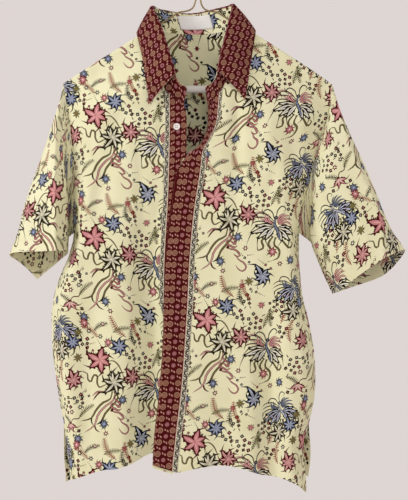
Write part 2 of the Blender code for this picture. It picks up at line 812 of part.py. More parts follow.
def add_hanger(steel, card, collection):
    neck = [(-1.5, 0, -95), (0, 0, -89), (0, 0, -82), (0, 0, -70)]
    route = np.vstack([wire_end(-1), wire_shoulder(-1, neck), refine(neck[-1:] + hook_route(), 6)[1:]])
    add_wire("hanger_wire_hook", route, WIRE / 2, steel, collection)
    wrap = wrap_route()[::-1]
    beside = WIRE + 0.35
    neck = [(beside + 0.4, 0, -93), (beside, 0, -87), wrap[0]]
    route = np.vstack([wire_end(1), wire_shoulder(1, neck), np.array(wrap[1:])])
    add_wire("hanger_wire_wrap", route, WIRE / 2, steel, collection)
    bore = WIRE / 2 + 0.3
    hollow = TUBE_RADIUS - 1.3
    half = TUBE_HALF
    outer = [(bore, half), (4.4, half), (5.7, half - 1.2), (TUBE_RADIUS, half - 3)]
    inner = [(bore, half - 8), (hollow, half - 12)]
    profile = outer + [(radius, -height) for radius, height in outer[::-1]]
    profile += [(radius, -height) for radius, height in inner] + inner[::-1]
    tube = turned("hanger_tube", profile, 20, card, collection)
    tube.rotation_euler = (0, math.pi / 2, 0)
    tube.location = (0, 0, TUBE_HEIGHT * MM)


# Trims

def add_buttons(look, collection):
    radius = BUTTON_RADIUS
    half = BUTTON_THICK / 2
    profile = [(0, half - 0.5), (radius * 0.55, half - 0.5), (radius * 0.72, half),
               (radius * 0.93, half), (radius, half - 0.5), (radius, -0.2),
               (radius * 0.8, -half), (0, -half)]
    for index in range(BUTTON_COUNT):
        z = TOP_BUTTON - BUTTON_PITCH * index
        if index == 0:
            x = -36.0
            under = placket_point("placket_right", 0.5, np.array(z))[1]
            y = under - WALL / 2 - SEAM_GAP - half
        else:
            part = 0.52
            place = placket_point("placket_left", part, np.array(z), FLY_STEP)
            x = place[0]
            y = place[1] - WALL / 2 - SEAM_GAP - half
        button = turned("button_%d" % (index + 1), profile, 16, look, collection)
        button.rotation_euler = (math.pi / 2, 0, 0)
        button.location = (x * MM, y * MM, z * MM)


def label_wall(stand):
    """Blank neck label on the inside of the stand, from the stand's own points."""
    inset = 1.25 * (WALL / 2 + SEAM_GAP + LABEL_THICK / 2)
    rows = []
    for part in (LABEL_TOP, (LABEL_TOP + LABEL_FOOT) / 2, LABEL_FOOT):
        line = stand[0] + (stand[-1] - stand[0]) * part
        x = LABEL_CENTRE + LABEL_WIDTH * (np.arange(7) / 6 - 0.5)
        back = line[PLACKET_STEPS + len(NECK_PARTS):-PLACKET_STEPS - len(NECK_PARTS)]
        y = np.interp(x, back[:, 0], back[:, 1])
        z = np.interp(x, back[:, 0], back[:, 2])
        rows.append(np.stack([x, y - inset, z + 0.05 * (x - LABEL_CENTRE)], axis=1))
    return np.array(rows).reshape(-1, 3), grid_faces(3, 7)


def plate(points, faces, thickness, direction):
    """Closed plate of even thickness along one direction."""
    shift = np.asarray(direction, float) * thickness / 2
    faces = oriented(points, faces, lambda centre: np.tile(direction, (len(centre), 1)))
    count = len(points)
    rim = sorted(edge_loops(faces))
    all_faces = list(faces)
    all_faces += [tuple(index + count for index in face[::-1]) for face in faces]
    all_faces += [(end, start, start + count, end + count) for start, end in rim]
    return np.vstack([points + shift, points - shift]), all_faces


def build_shirt(collection):
    cream = material("batik_cotton", CREAM, 0.85)
    maroon = material("batik_border_cotton", MAROON, 0.85)
    grids = {name: front_grid(name) for name in ("front_right", "front_left")}
    grids["back"] = back_grid()
    grids["placket_right"] = placket_grid("placket_right", grids["front_right"])
    grids["placket_left"] = placket_grid("placket_left", grids["front_left"])
    rows = len(UPPER_ROWS)
    grids["sleeve_right"] = sleeve_grid("sleeve_right", grids["front_right"][:rows, 0],
                                        grids["back"][:rows, 0])
    grids["sleeve_left"] = sleeve_grid("sleeve_left", grids["front_left"][:rows, 0],
                                       grids["back"][:rows, -1])
    first_neck = SHOULDER_EDGES
    base = np.vstack([
        grids["placket_right"][0, ::-1],
        grids["front_right"][0, first_neck:-1][::-1],
        grids["back"][0, first_neck + 1:-first_neck],
        grids["front_left"][0, first_neck + 1:],
        grids["placket_left"][0, 1:],
    ])
    grids["collar_stand"], grids["collar_leaf"] = collar_grids(base)
    neck_centre = np.array([-6.0, 0.0, -140.0])
    outward = {
        "front_right": lambda centre: np.tile((0, -1, 0), (len(centre), 1)),
        "back": lambda centre: np.tile((0, 1, 0), (len(centre), 1)),
        "collar_stand": lambda centre: (centre - neck_centre) * (1, 1, 0),
        "collar_leaf": lambda centre: (neck_centre - centre) * (1, 1, 0),
    }
    sheets = {}
    for name, grid in grids.items():
        ring = name.startswith("sleeve")
        points = grid.reshape(-1, 3)
        faces = grid_faces(grid.shape[0], grid.shape[1], ring)
        away = outward.get(name, outward["front_right"])
        if ring:
            middle = grid.mean(axis=(0, 1))
            away = lambda centre, middle=middle: (centre - middle) * (1, 1, 0.3)
        sheets[name] = {"points": points, "faces": oriented(points, faces, away)}
    normals = shared_normals(sheets.values())
    for name, sheet in sheets.items():
        vertices, faces = wall(sheet, normals)
        cloth = maroon if name.startswith(("collar", "placket")) else cream
        add_mesh(name, vertices, faces, cloth, collection)
    fly = fly_grid(grids["front_left"])
    points = fly.reshape(-1, 3)
    vertices, faces = plate(points, grid_faces(fly.shape[0], fly.shape[1]), WALL, (0, -1, 0))
    add_mesh("fly_strip", vertices, faces, cream, collection)
    points, faces = label_wall(grids["collar_stand"])
    vertices, faces = plate(points, faces, LABEL_THICK, (0, -1, 0))
    add_mesh("neck_label", vertices, faces, material("label_satin", WHITE, 0.6), collection)


def main():
    for old in list(bpy.data.objects):
        bpy.data.objects.remove(old, do_unlink=True)
    collection = bpy.data.collections.new("batik_shirt_on_hanger")
    bpy.context.scene.collection.children.link(collection)
    build_shirt(collection)
    add_buttons(material("shell_button", PEARL, 0.35), collection)
    add_hanger(material("hanger_steel", STEEL, 0.35, 1.0),
               material("hanger_card", CARD, 0.8), collection)


main()
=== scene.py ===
"""Look of the batik shirt on its wire hanger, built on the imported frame."""
import math

import bpy
import numpy as np
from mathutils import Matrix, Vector, geometry


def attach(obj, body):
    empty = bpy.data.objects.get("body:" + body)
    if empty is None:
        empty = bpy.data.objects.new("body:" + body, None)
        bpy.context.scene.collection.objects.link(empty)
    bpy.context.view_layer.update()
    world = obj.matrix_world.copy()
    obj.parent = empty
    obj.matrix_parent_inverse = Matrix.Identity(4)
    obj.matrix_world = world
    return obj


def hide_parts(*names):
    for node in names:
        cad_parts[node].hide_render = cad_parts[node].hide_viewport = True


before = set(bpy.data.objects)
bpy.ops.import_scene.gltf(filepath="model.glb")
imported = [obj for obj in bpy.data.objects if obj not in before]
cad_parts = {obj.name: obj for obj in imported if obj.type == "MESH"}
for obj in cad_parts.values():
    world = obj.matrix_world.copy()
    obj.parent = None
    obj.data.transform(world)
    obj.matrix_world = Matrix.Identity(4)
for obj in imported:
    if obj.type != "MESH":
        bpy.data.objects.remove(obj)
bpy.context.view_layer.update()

MM = 0.001

FLY_STEP = 4.0           # from the outer placket back to the fly strip
UNDER_STEP = 5.6         # from the outer placket back to the under placket
LAP_OUTSIDE = 55.0       # that step starts this far outside the under placket's seam
LAP_WIDTH = 50.0         # and is whole after this width,
LAP_TOP = -170.0         # and from this height down
LAP_HEIGHT = 80.0        # it grows over this height

# The cloth over the hanger's wire
SHOULDER_SLOPE = 0.64    # fall of the wire's shoulders for each step outwards
RIDGE_APEX = -93.5       # height at which the cloth's two slopes would meet, on X = 0
WIRE_END = 190.0         # where the wire's shoulder ends on the wearer's left

# Heights of the torso's blocks of rows
UNDERARM = -498.0
VENT_TOP = -824.0

# Side edges: height, x on the wearer's right, x on the left, and how far the
# armhole's front and back edges stand from the middle plane.
SIDE_COLUMNS = ("z", "right_x", "left_x", "front_y", "back_y")
SIDE_ROWS = (
    (-241, -230, 230, 0, 0),
    (-249, -229, 228, -3, 4),
    (-280, -224, 225, -9, 11),
    (-340, -216, 207, -14, 18),
    (-408, -212, 190, -14, 18),
    (-462, -213, 178, -12, 15),
    (-486, -213, 175, -8, 12),
    (-498, -213, 173, 0, 0),
    (-529, -219, 173, 0, 0),
    (-571, -236, 175, 0, 0),
    (-602, -246, 178, 0, 0),
    (-646, -251, 189, 0, 0),
    (-687, -250, 197, 0, 0),
    (-741, -244, 201, 0, 0),
    (-782, -238, 199, 0, 0),
    (-824, -230, 190, 0, 0),
    (-858, -225, 181, -2, 3),
    (-885, -222, 181, -3, 6),
    (-912, -219, 184, -4, 8),
    (-942, -217, 185, -4, 8),
)
# The back's own side edges below the vents.
BACK_VENT_ROWS = (
    (-824, -230, 190),
    (-877, -230, 193),
    (-925, -227, 189),
)
# Depth of the front and back from the middle plane, and the width in which
# each side of the front turns back to its edge.
DEPTH_COLUMNS = ("z", "front", "back", "turn_right", "turn_left")
DEPTH_ROWS = (
    (-90, 16, 12, 40, 40),
    (-160, 24, 22, 40, 40),
    (-250, 38, 30, 46, 46),
    (-300, 41, 32, 60, 62),
    (-340, 43, 34, 64, 70),
    (-408, 45, 35, 42, 40),
    (-462, 46, 36, 26, 24),
    (-529, 46, 36, 20, 18),
    (-600, 46, 36, 26, 22),
    (-800, 44, 36, 28, 26),
    (-950, 42, 36, 28, 26),
)
BACK_TURN = 44.0         # the same width on the back
DROOP = 3.0              # fall of that shoulder in the next DROOP_REACH
DROOP_REACH = 40.0
ROLL = 5.0               # radius of the cloth over the wire
SPREAD = 110.0           # drop below the wire in which the full depth is reached
NECK_BULGE = 12.0        # extra depth of the back at the neck
NECK_MIDDLE = (-6.0, -150.0)     # its x and height, and its half width and half height
NECK_SPREAD = (60.0, 70.0)
NECK_RISE = 40.0         # drop below the wire in which it is reached
FOLD_EDGE = 30.0         # width at a front's edges in which its folds die out

# Soft folds: a line from top to bottom, its half width, how far it sinks (or
# stands out, where negative), and the lengths in which it starts and ends.
FOLD_COLUMNS = ("x_top", "z_top", "x_low", "z_low", "half_width", "sink", "start", "end")
FOLDS = {
    "front_right": (
        (-84, -400, -90, -960, 24, 13, 160, 1),
        (-128, -380, -150, -960, 26, -5, 200, 1),
        (-176, -560, -196, -960, 20, 6, 120, 1),
        (-120, -250, -190, -520, 18, 5, 90, 80),
    ),
    "front_left": (
        (70, -230, 66, -560, 20, 6, 100, 160),
        (104, -560, 126, -960, 24, 11, 180, 1),
        (150, -560, 166, -960, 20, -5, 160, 1),
        (30, -640, 40, -960, 26, 5, 160, 1),
        (110, -250, 156, -520, 16, -6, 80, 80),
    ),
    "back": (
        (-120, -220, -150, -960, 30, -8, 180, 1),
        (-60, -300, -74, -960, 26, 9, 200, 1),
        (8, -210, 14, -960, 32, -7, 160, 1),
        (84, -330, 96, -960, 26, 10, 220, 1),
        (140, -240, 150, -960, 26, -6, 180, 1),
        (-196, -480, -206, -960, 20, 6, 160, 1),
    ),
}

# Hems: x and height.
HEMS = {
    "front_right": ((-218, -920), (-192, -910), (-166, -901), (-133, -896),
                    (-105, -886), (-89, -877), (-74, -871)),
    "front_left": ((-34, -904), (3, -896), (41, -892), (76, -897),
                   (105, -907), (149, -916), (171, -927), (185, -942)),
    "back": ((-227, -925), (-150, -892), (-20, -870), (100, -884), (189, -916)),
}

# Plackets: height, x of the edge that is sewn to the front, x of the free
# edge, and how far the free edge lies behind the sewn one.
PLACKET_COLUMNS = ("z", "seam_x", "free_x", "free_back")
PLACKETS = {
    "placket_right": (
        (-256, -56, -24, 0),
        (-282, -56, -22, 0),
        (-309, -56, -19, 0),
        (-367, -57, -20, 0),
        (-452, -60, -22, 0),
        (-507, -63, -26, 0),
        (-612, -65, -28, 0),
        (-640, -60, -23, 0),
        (-663, -57, -20, 0),
        (-758, -63, -26, 0),
        (-853, -73, -36, 0),
        (-890, -74, -37, 0),
    ),
    "placket_left": (
        (-252, 42, 14, 10),
        (-286, 39, 17, 20),
        (-306, 37, 17, 24),
        (-336, 24, 10, 20),
        (-352, 15, 0, 5),
        (-360, 14, -10, 0),
        (-368, 14, -19, 0),
        (-391, 12, -34, 0),
        (-452, 3, -46, 0),
        (-544, -5, -56, 0),
        (-612, -8, -58, 0),
        (-663, -11, -59, 0),
        (-758, -18, -65, 0),
        (-853, -29, -75, 0),
        (-906, -34, -77, 0),
    ),
}
PLACKET_FOOT = {"placket_right": (-871, -888), "placket_left": (-904, -891)}
PLACKET_STEPS = 3
FLY_TOP = -358.0
FLY_LIP = 2.2            # how far the fly strip shows past the outer placket
FLY_LIP_FOOT = -400.0    # height at which that starts, and over which it grows
FLY_LIP_HEIGHT = 40.0
FLY_SEAM_SIDE = 8.0      # how far it stays inside the placket's seam
FLY_PAST_FOOT = 3.0      # how far its foot lies below the placket's at the seam
FLY_FOOT_RISE = 11.0     # how much higher its foot lies at the free edge

# Neckline of each front from the shoulder's neck point to the placket.
NECKLINES = {
    "front_right": ((-84, -147), (-82, -173), (-73, -207), (-56, -256)),
    "front_left": ((74, -141), (71, -173), (64, -207), (42, -252)),
}
BACK_NECK = ((-84, -147), (-62, -152), (-8, -155), (44, -151), (74, -141))
PLACKET_TOPS = {"placket_right": (-24, -280), "placket_left": (17, -286)}
PLACKET_TOP_TURN = 12.0  # height in which the free edge turns to its top

# The collar's stations run along the neck seam: 0 is the free end on the wearer's
# right, 1 the placket's seam, 2 the neck point on the shoulder, 3 the middle of
# the back, and 4, 5 and 6 the same places on the left. NECK_PARTS and BACK_PARTS
# say where a front's neckline and the back's are divided, from the neck point.
NECK_PARTS = (0, 0.06, 0.35, 0.67, 1)
BACK_PARTS = (0, 0.035, 0.14, 0.26, 0.38, 0.5, 0.62, 0.74, 0.86, 0.965, 1)
LEAF_FIRST = 1
LEAF_LAST = 5
# Roll line of the collar: station, x, y and height.
ROLL_ROWS = (
    (0, -18, -42, -253),
    (1, -38, -46, -231),
    (1.5, -52, -36, -184),
    (1.75, -62, -21, -150),
    (2, -75, -3, -118),
    (2.5, -60, 19, -115),
    (3, -14, 33, -120),
    (3.5, 30, 22, -114),
    (3.75, 49, 11, -111),
    (4, 58, -2, -112),
    (4.25, 50, -21, -150),
    (4.5, 42, -36, -186),
    (5, 32, -46, -229),
    (6, 12, -41, -252),
)
# Outer edge of the collar's leaf: station, x and height.
LEAF_ROWS = (
    (1, -82, -280),
    (1.25, -88, -240),
    (1.5, -94, -203),
    (1.75, -100, -177),
    (2, -105, -154),
    (2.25, -96, -162),
    (2.5, -74, -168),
    (3, -12, -169),
    (3.5, 52, -166),
    (3.75, 86, -159),
    (4, 98, -150),
    (4.25, 95, -175),
    (4.5, 90, -205),
    (4.75, 85, -240),
    (5, 80, -274),
)
LEAF_CLEAR = 5.0         # from the leaf's edge to the panel under it
LEAF_BOW = 2.0           # how far the leaf bows out between its roll and its edge
NECK_CENTRE = (-6.0, 0.0, -140.0)
# The leaf's roll over the stand, as steps up and out from the roll line.
LEAF_ROLL = ((2.4, 0.8), (3.4, 3.0), (2.2, 5.4))

# Sleeves: named points round each section, from the pressed top crease by the
# front to the underarm seam and by the back to the crease again.
SLEEVE_COLUMNS = ("crease", "front", "inner", "under", "back", "low", "outer")
SLEEVES = {
    "sleeve_right": (
        ((-241, -34, -323), (-229, -30, -357), (-225, -8, -430), (-232, 22, -514),
         (-252, 42, -446), (-260, 36, -384), (-262, 4, -344)),
        ((-241, -50, -425), (-224, -30, -442), (-227, 16, -486), (-254, 52, -547),
         (-274, 56, -504), (-289, 38, -468), (-297, 4, -449)),
        ((-239, -60, -528), (-222, -20, -530), (-240, 38, -545), (-282, 74, -578),
         (-296, 60, -562), (-311, 34, -547), (-323, 2, -536)),
    ),
    "sleeve_left": (
        ((262, -34, -357), (222, -38, -384), (194, -20, -446), (197, 14, -518),
         (206, 34, -450), (250, 36, -382), (280, 4, -371)),
        ((306, -48, -464), (258, -46, -484), (195, -24, -510), (208, 6, -552),
         (233, 38, -536), (289, 42, -496), (325, 4, -481)),
        ((316, -56, -539), (272, -46, -570), (245, -28, -593), (230, 2, -602),
         (264, 38, -592), (323, 44, -570), (355, 2, -528)),
    ),
}
HALF_RING = 11           # edges from the shoulder point to the underarm

# Edges from the shoulder point to the underarm, as parts of the armhole's height
UPPER_ROWS = (0, 0.022, 0.1, 0.2, 0.3, 0.4, 0.5, 0.6, 0.7, 0.8, 0.9, 1)

# Buttons: 18-line shell buttons, one every 85 mm below the top one.
BUTTON_RADIUS = 5.7
BUTTON_THICK = 2.2
TOP_BUTTON = -318.0
BUTTON_PITCH = 85.0
BUTTON_COUNT = 7
HOLE_RADIUS = 0.85
HOLE_ASIDE = 1.45        # from the button's middle to a hole's, across and down
HOLLOW = 0.62            # depth of the button's middle below its rim
WALL = 1.2               # thickness of the solids' cloth
SEAM_GAP = 0.3           # between solids that meet

LABEL_WIDTH = 58.0
LABEL_CENTRE = -5.0


# Curves and smooth steps

def through(knots, values, where, level=False):
    """Smooth curve through values at steadily rising or falling knots.

    With level set it never passes beyond the values on its two sides.
    """
    knots = np.asarray(knots, float)
    values = np.asarray(values, float)
    if knots[0] > knots[-1]:
        knots = knots[::-1]
        values = values[::-1]
    slopes = np.gradient(values, knots, axis=0)
    if level:
        steps = np.diff(values) / np.diff(knots)
        before = np.concatenate([[0], steps])
        after = np.concatenate([steps, [0]])
        limit = 3 * np.minimum(np.abs(before), np.abs(after)) * (before * after > 0)
        slopes = np.clip(slopes, -limit, limit)
    place = np.clip(np.asarray(where, float), knots[0], knots[-1])
    low = np.clip(np.searchsorted(knots, place) - 1, 0, len(knots) - 2)
    span = knots[low + 1] - knots[low]
    part = (place - knots[low]) / span
    if values.ndim > 1:
        span = span[..., None]
        part = part[..., None]
    rest = 1 - part
    return ((1 + 2 * part) * rest ** 2 * values[low] + part * rest ** 2 * span * slopes[low]
            + part ** 2 * (3 - 2 * part) * values[low + 1]
            - part ** 2 * rest * span * slopes[low + 1])


def column(rows, names, name, height):
    """One column of a table whose first column is the height."""
    data = np.asarray(rows, float)
    return through(data[:, 0], data[:, names.index(name)], height, level=True)


def run_length(points, axis=0):
    """Length along one direction of points or of a lattice, from its start."""
    steps = np.linalg.norm(np.diff(points, axis=axis), axis=-1)
    start = np.zeros_like(np.take(steps, [0], axis=axis))
    return np.concatenate([start, np.cumsum(steps, axis=axis)], axis=axis)


def at_runs(stops, run, values):
    """Each column of values at the given lengths of its run."""
    return np.stack([np.interp(stops, run, line) for line in values.T], axis=1)


def trace(points, count):
    """Points along a smooth curve through the given ones.

    count is the number of equal steps, or the parts of the length to stop at.
    """
    points = np.asarray(points, float)
    knots = run_length(points)
    curve = through(knots, points, np.linspace(0, knots[-1], 40 * len(points)))
    run = run_length(curve)
    parts = np.linspace(0, 1, count + 1) if isinstance(count, int) else np.asarray(count)
    return at_runs(parts * run[-1], run, curve)


def unit(vectors):
    return vectors / np.maximum(np.linalg.norm(vectors, axis=-1), 1e-9)[..., None]


def beside(along):
    """Unit directions in the plane, a quarter turn from the given ones."""
    return unit(np.stack([-along[:, 1], along[:, 0]], axis=1))


def smooth_step(value):
    value = np.clip(value, 0, 1)
    return value * value * (3 - 2 * value)


# The shirt's form

def ridge(x):
    """Height of the cloth over the hanger's wire."""
    past_wire = np.clip((x - WIRE_END) / DROOP_REACH, 0, None)
    return RIDGE_APEX - SHOULDER_SLOPE * np.abs(x) - DROOP * past_wire ** 2


def side(name, z):
    return column(SIDE_ROWS, SIDE_COLUMNS, name, z)


def depth(name, z):
    return column(DEPTH_ROWS, DEPTH_COLUMNS, name, z)


def folds(name, x, z):
    """How far the folds of one panel push it towards the middle plane."""
    sink = np.zeros_like(x)
    for row in FOLDS[name]:
        fold = dict(zip(FOLD_COLUMNS, row))
        fall = (fold["z_top"] - z) / (fold["z_top"] - fold["z_low"])
        line = fold["x_top"] + (fold["x_low"] - fold["x_top"]) * fall
        starts = smooth_step((fold["z_top"] - z) / fold["start"])
        ends = smooth_step((z - fold["z_low"]) / fold["end"])
        across = np.exp(-((x - line) / fold["half_width"]) ** 2)
        sink = sink + fold["sink"] * starts * ends * across
    return sink


def depth_below_wire(x, z, full):
    """Half thickness of the shirt, growing from the roll over the wire."""
    drop = np.clip(ridge(x) - z, 0, None)
    roll = ROLL * np.sqrt(1 - (1 - np.clip(drop / ROLL, 0, 1)) ** 2)
    return roll + (full - ROLL) * smooth_step(drop / SPREAD)


def turn(distance, width):
    """0 at a panel's side edge, 1 where its face is reached."""
    return 1 - (1 - np.clip(distance / width, 0, 1)) ** 2


def front_y(x, z):
    """Face that both fronts and the plackets share."""
    face = -depth_below_wire(x, z, depth("front", z))
    edge = side("front_y", z)
    right = x - side("right_x", z)
    left = side("left_x", z) - x
    rise = turn(right, depth("turn_right", z))
    rise = rise * turn(left, depth("turn_left", z))
    return edge + (face - edge) * rise


def back_y(x, z):
    neck = NECK_BULGE * np.exp(-((x - NECK_MIDDLE[0]) / NECK_SPREAD[0]) ** 2
                               - ((z - NECK_MIDDLE[1]) / NECK_SPREAD[1]) ** 2)
    drop = np.clip(ridge(x) - z, 0, None)
    face = depth_below_wire(x, z, depth("back", z)) + neck * smooth_step(drop / NECK_RISE)
    edge = side("back_y", z)
    right_x, left_x = side_edges("back", z)
    rise = turn(x - right_x, BACK_TURN) * turn(left_x - x, BACK_TURN)
    return edge + (face - edge) * rise - folds("back", x, z) * rise


def side_edges(name, z):
    right_x = side("right_x", z)
    left_x = side("left_x", z)
    if name == "back":
        vent = np.asarray(BACK_VENT_ROWS, float)
        below = np.asarray(z) < VENT_TOP
        right_x = np.where(below, through(vent[:, 0], vent[:, 1], z, level=True), right_x)
        left_x = np.where(below, through(vent[:, 0], vent[:, 2], z, level=True), left_x)
    return right_x, left_x


def placket_x(name, edge, z):
    return column(PLACKETS[name], PLACKET_COLUMNS, edge, z)


def under_step(x, z):
    """How far the wearer's right front lies back, where the left one laps over it."""
    seam = placket_x("placket_right", "seam_x", z)
    return (UNDER_STEP * smooth_step((x - seam + LAP_OUTSIDE) / LAP_WIDTH)
            * smooth_step((LAP_TOP - z) / LAP_HEIGHT))


def panel_point(name, x, z):
    if name == "back":
        return np.stack([x, back_y(x, z), z], axis=-1)
    y = front_y(x, z)
    right_x, left_x = side_edges(name, z)
    if name == "front_right":
        y = y + folds(name, x, z) * turn(x - right_x, FOLD_EDGE) + under_step(x, z)
    else:
        seam = placket_x("placket_left", "seam_x", z)
        y = y + (folds(name, x, z) * turn(left_x - x, FOLD_EDGE)
                 * smooth_step((x - seam) / FOLD_EDGE))
    return np.stack([x, y, z], axis=-1)


def placket_point(name, part, z, back=0.0):
    """Point of a placket, part of the way from its seam to its free edge."""
    seam_x = placket_x(name, "seam_x", z)
    free_x = placket_x(name, "free_x", z)
    x = seam_x + (free_x - seam_x) * part
    y = front_y(x, z) + placket_x(name, "free_back", z) * part ** 1.5 + back
    if name == "placket_right":
        y = y + under_step(seam_x, z)
    return np.stack([x, y, z], axis=-1)


# Sheets of cloth. Each has a lattice of places, their cloth coordinates u and v
# in millimetres, and a cut outline whose places it shares with its neighbours.

CLOTH = 0.55             # thickness of one layer of the shirting
FACED = 1.0              # thickness of the collar and plackets, which are doubled
LATTICE = 4.0            # spacing of the torso's rows and columns
NEARBY = 0.04            # lattice steps to the places from which a normal is worked out
SEAM_SINK = 0.6          # how far a seam lies below the cloth beside it
OUTER_TOLERANCE = 0.14   # how far a printed line may leave its true course
INNER_TOLERANCE = 0.4    # the same on the side turned to the body
INNER_LEAST = 2.0        # smallest spot printed on that side, in square millimetres
COARSER = {"back": 2.0}  # how much coarser its print is cut, as it is the largest piece
SPACING = 6.0            # between the vertices where the print has none
LONGEST_CHORD = 6.0      # between the points of a printed line
CLEAR = 2.2              # least distance of those vertices from the printed lines
EDGE_ROW = 2.6           # from the outline to a row of vertices inside it
ON_EDGE = 0.002          # how near a line's end lies to the outline that it stops on
CDT_TOLERANCE = 1e-4     # within which the triangulation takes two places as one
RIDGE_STEPS = (0.35, 1.3, 2.7, 5.0, 9.0)   # rows of vertices below the shoulder

# Creases laid over the form's own folds, in the same columns: the soft
# hang of the body, drag lines at the armholes, and pressed lines of the folding.
CREASES = {
    "front_right": (
        (-96, -300, -100, -640, 11, 3.0, 90, 120),
        (-66, -400, -72, -620, 9, 2.2, 80, 80),
        (-72, -560, -84, -960, 17, 5.4, 160, 1),
        (-112, -520, -128, -960, 10, -2.6, 140, 1),
        (-150, -620, -160, -960, 12, 2.6, 160, 1),
        (-60, -250, -92, -400, 8, -2.0, 50, 60),
        (-196, -300, -150, -430, 8, 2.6, 40, 60),
        (-190, -400, -168, -560, 7, -2.0, 50, 70),
        (-200, -470, -120, -560, 9, 1.8, 40, 40),
        (-170, -190, -178, -330, 8, 1.8, 50, 60),
        (-205, -760, -150, -930, 8, 1.8, 80, 30),
        (-134, -700, -96, -880, 7, 1.4, 90, 40),
    ),
    "front_left": (
        (62, -250, 70, -420, 8, 3.0, 50, 80),
        (84, -220, 76, -560, 10, -3.0, 60, 140),
        (128, -300, 140, -470, 12, 4.0, 60, 70),
        (156, -240, 164, -520, 15, 5.0, 60, 100),
        (140, -330, 104, -520, 7, 1.8, 60, 60),
        (120, -600, 132, -960, 14, 6.0, 120, 1),
        (88, -560, 96, -960, 9, -2.2, 140, 1),
        (60, -640, 52, -960, 10, 2.0, 120, 1),
        (36, -420, 44, -700, 8, -1.6, 120, 120),
        (160, -620, 176, -940, 8, 1.4, 110, 20),
        (146, -480, 96, -600, 8, 1.8, 40, 60),
        (30, -300, 22, -460, 7, 1.6, 60, 80),
    ),
    "back": (
        (-150, -260, -168, -700, 11, 2.8, 120, 160),
        (-104, -330, -110, -960, 10, -2.4, 160, 1),
        (-24, -240, -30, -700, 12, 2.6, 130, 200),
        (40, -300, 44, -960, 10, 2.2, 180, 1),
        (112, -280, 126, -820, 11, -2.6, 140, 180),
        (168, -360, 160, -620, 9, 2.8, 70, 110),
        (190, -620, 176, -960, 9, 2.0, 120, 1),
        (-190, -360, -150, -540, 8, 2.4, 60, 90),
        (-60, -600, -40, -960, 9, 1.8, 150, 1),
        (70, -620, 84, -960, 8, -1.6, 150, 1),
        (-206, -700, -200, -940, 8, 1.8, 90, 1),
    ),
}
# Creases of a sleeve: place across at its top and at its hem, half width, rise,
# and where it starts and ends, all but the rise in parts of the whole.
SLEEVE_CREASES = (
    (0.10, 0.13, 0.018, -1.8, 0.0, 0.9),
    (0.19, 0.16, 0.022, -2.2, 0.1, 1.0),
    (0.27, 0.30, 0.020, 1.6, 0.2, 1.0),
    (0.34, 0.31, 0.018, -1.6, 0.0, 0.7),
    (0.42, 0.40, 0.020, 1.4, 0.3, 1.0),
    (0.58, 0.62, 0.022, -1.8, 0.1, 0.9),
    (0.66, 0.64, 0.020, 1.6, 0.2, 1.0),
    (0.74, 0.79, 0.022, -2.0, 0.0, 0.8),
    (0.86, 0.84, 0.020, -1.6, 0.2, 1.0),
)
for panel, rows in CREASES.items():
    FOLDS[panel] = FOLDS[panel] + rows


def fine(parts, steps):
    """The given parts with each step between them divided evenly."""
    pieces = [np.linspace(start, end, steps, endpoint=False)
              for start, end in zip(parts[:-1], parts[1:])]
    return np.concatenate(pieces + [[parts[-1]]])


# Steps of the lattices and outlines. Those at shared edges have to match.
SEAM_STEPS = 125         # down a placket's seam
SLEEVE_ROWS = 60
FLY_COLUMNS = 8
FLY_ROWS = 109
LEAF_FALL = 16
RING = fine(range(HALF_RING + 1), 5)
RING_PARTS = np.interp(RING, range(HALF_RING + 1), UPPER_ROWS)
SIDE_Z = np.linspace(UNDERARM, VENT_TOP, 66)
SHOULDER_PARTS = np.linspace(0, 1, 31)
NECK_FINE = fine(NECK_PARTS, 6)
BACK_FINE = fine(BACK_PARTS, 4)
PLACKET_FINE = np.linspace(0, 1, 10)
STAND_ROWS = np.linspace(0, 1, 9)


def spline_weights(place, size):
    """First of the four lattice lines round each place, and their weights."""
    low = np.clip(np.floor(place).astype(int), 0, size - 2)
    part = place - low
    square = part * part
    cube = square * part
    return low, np.stack([-0.5 * part + square - 0.5 * cube, 1 - 2.5 * square + 1.5 * cube,
                          0.5 * part + 2 * square - 1.5 * cube, 0.5 * cube - 0.5 * square])


def monotone(values, target):
    """Fractional place of each target in its own column of rising values."""
    size = values.shape[0]
    low = np.clip((values < target).sum(axis=0) - 1, 0, size - 2)
    each = np.arange(values.shape[1])
    below = values[low, each]
    step = np.maximum(values[low + 1, each] - below, 1e-9)
    return np.clip(low + (target - below) / step, 0, size - 1)


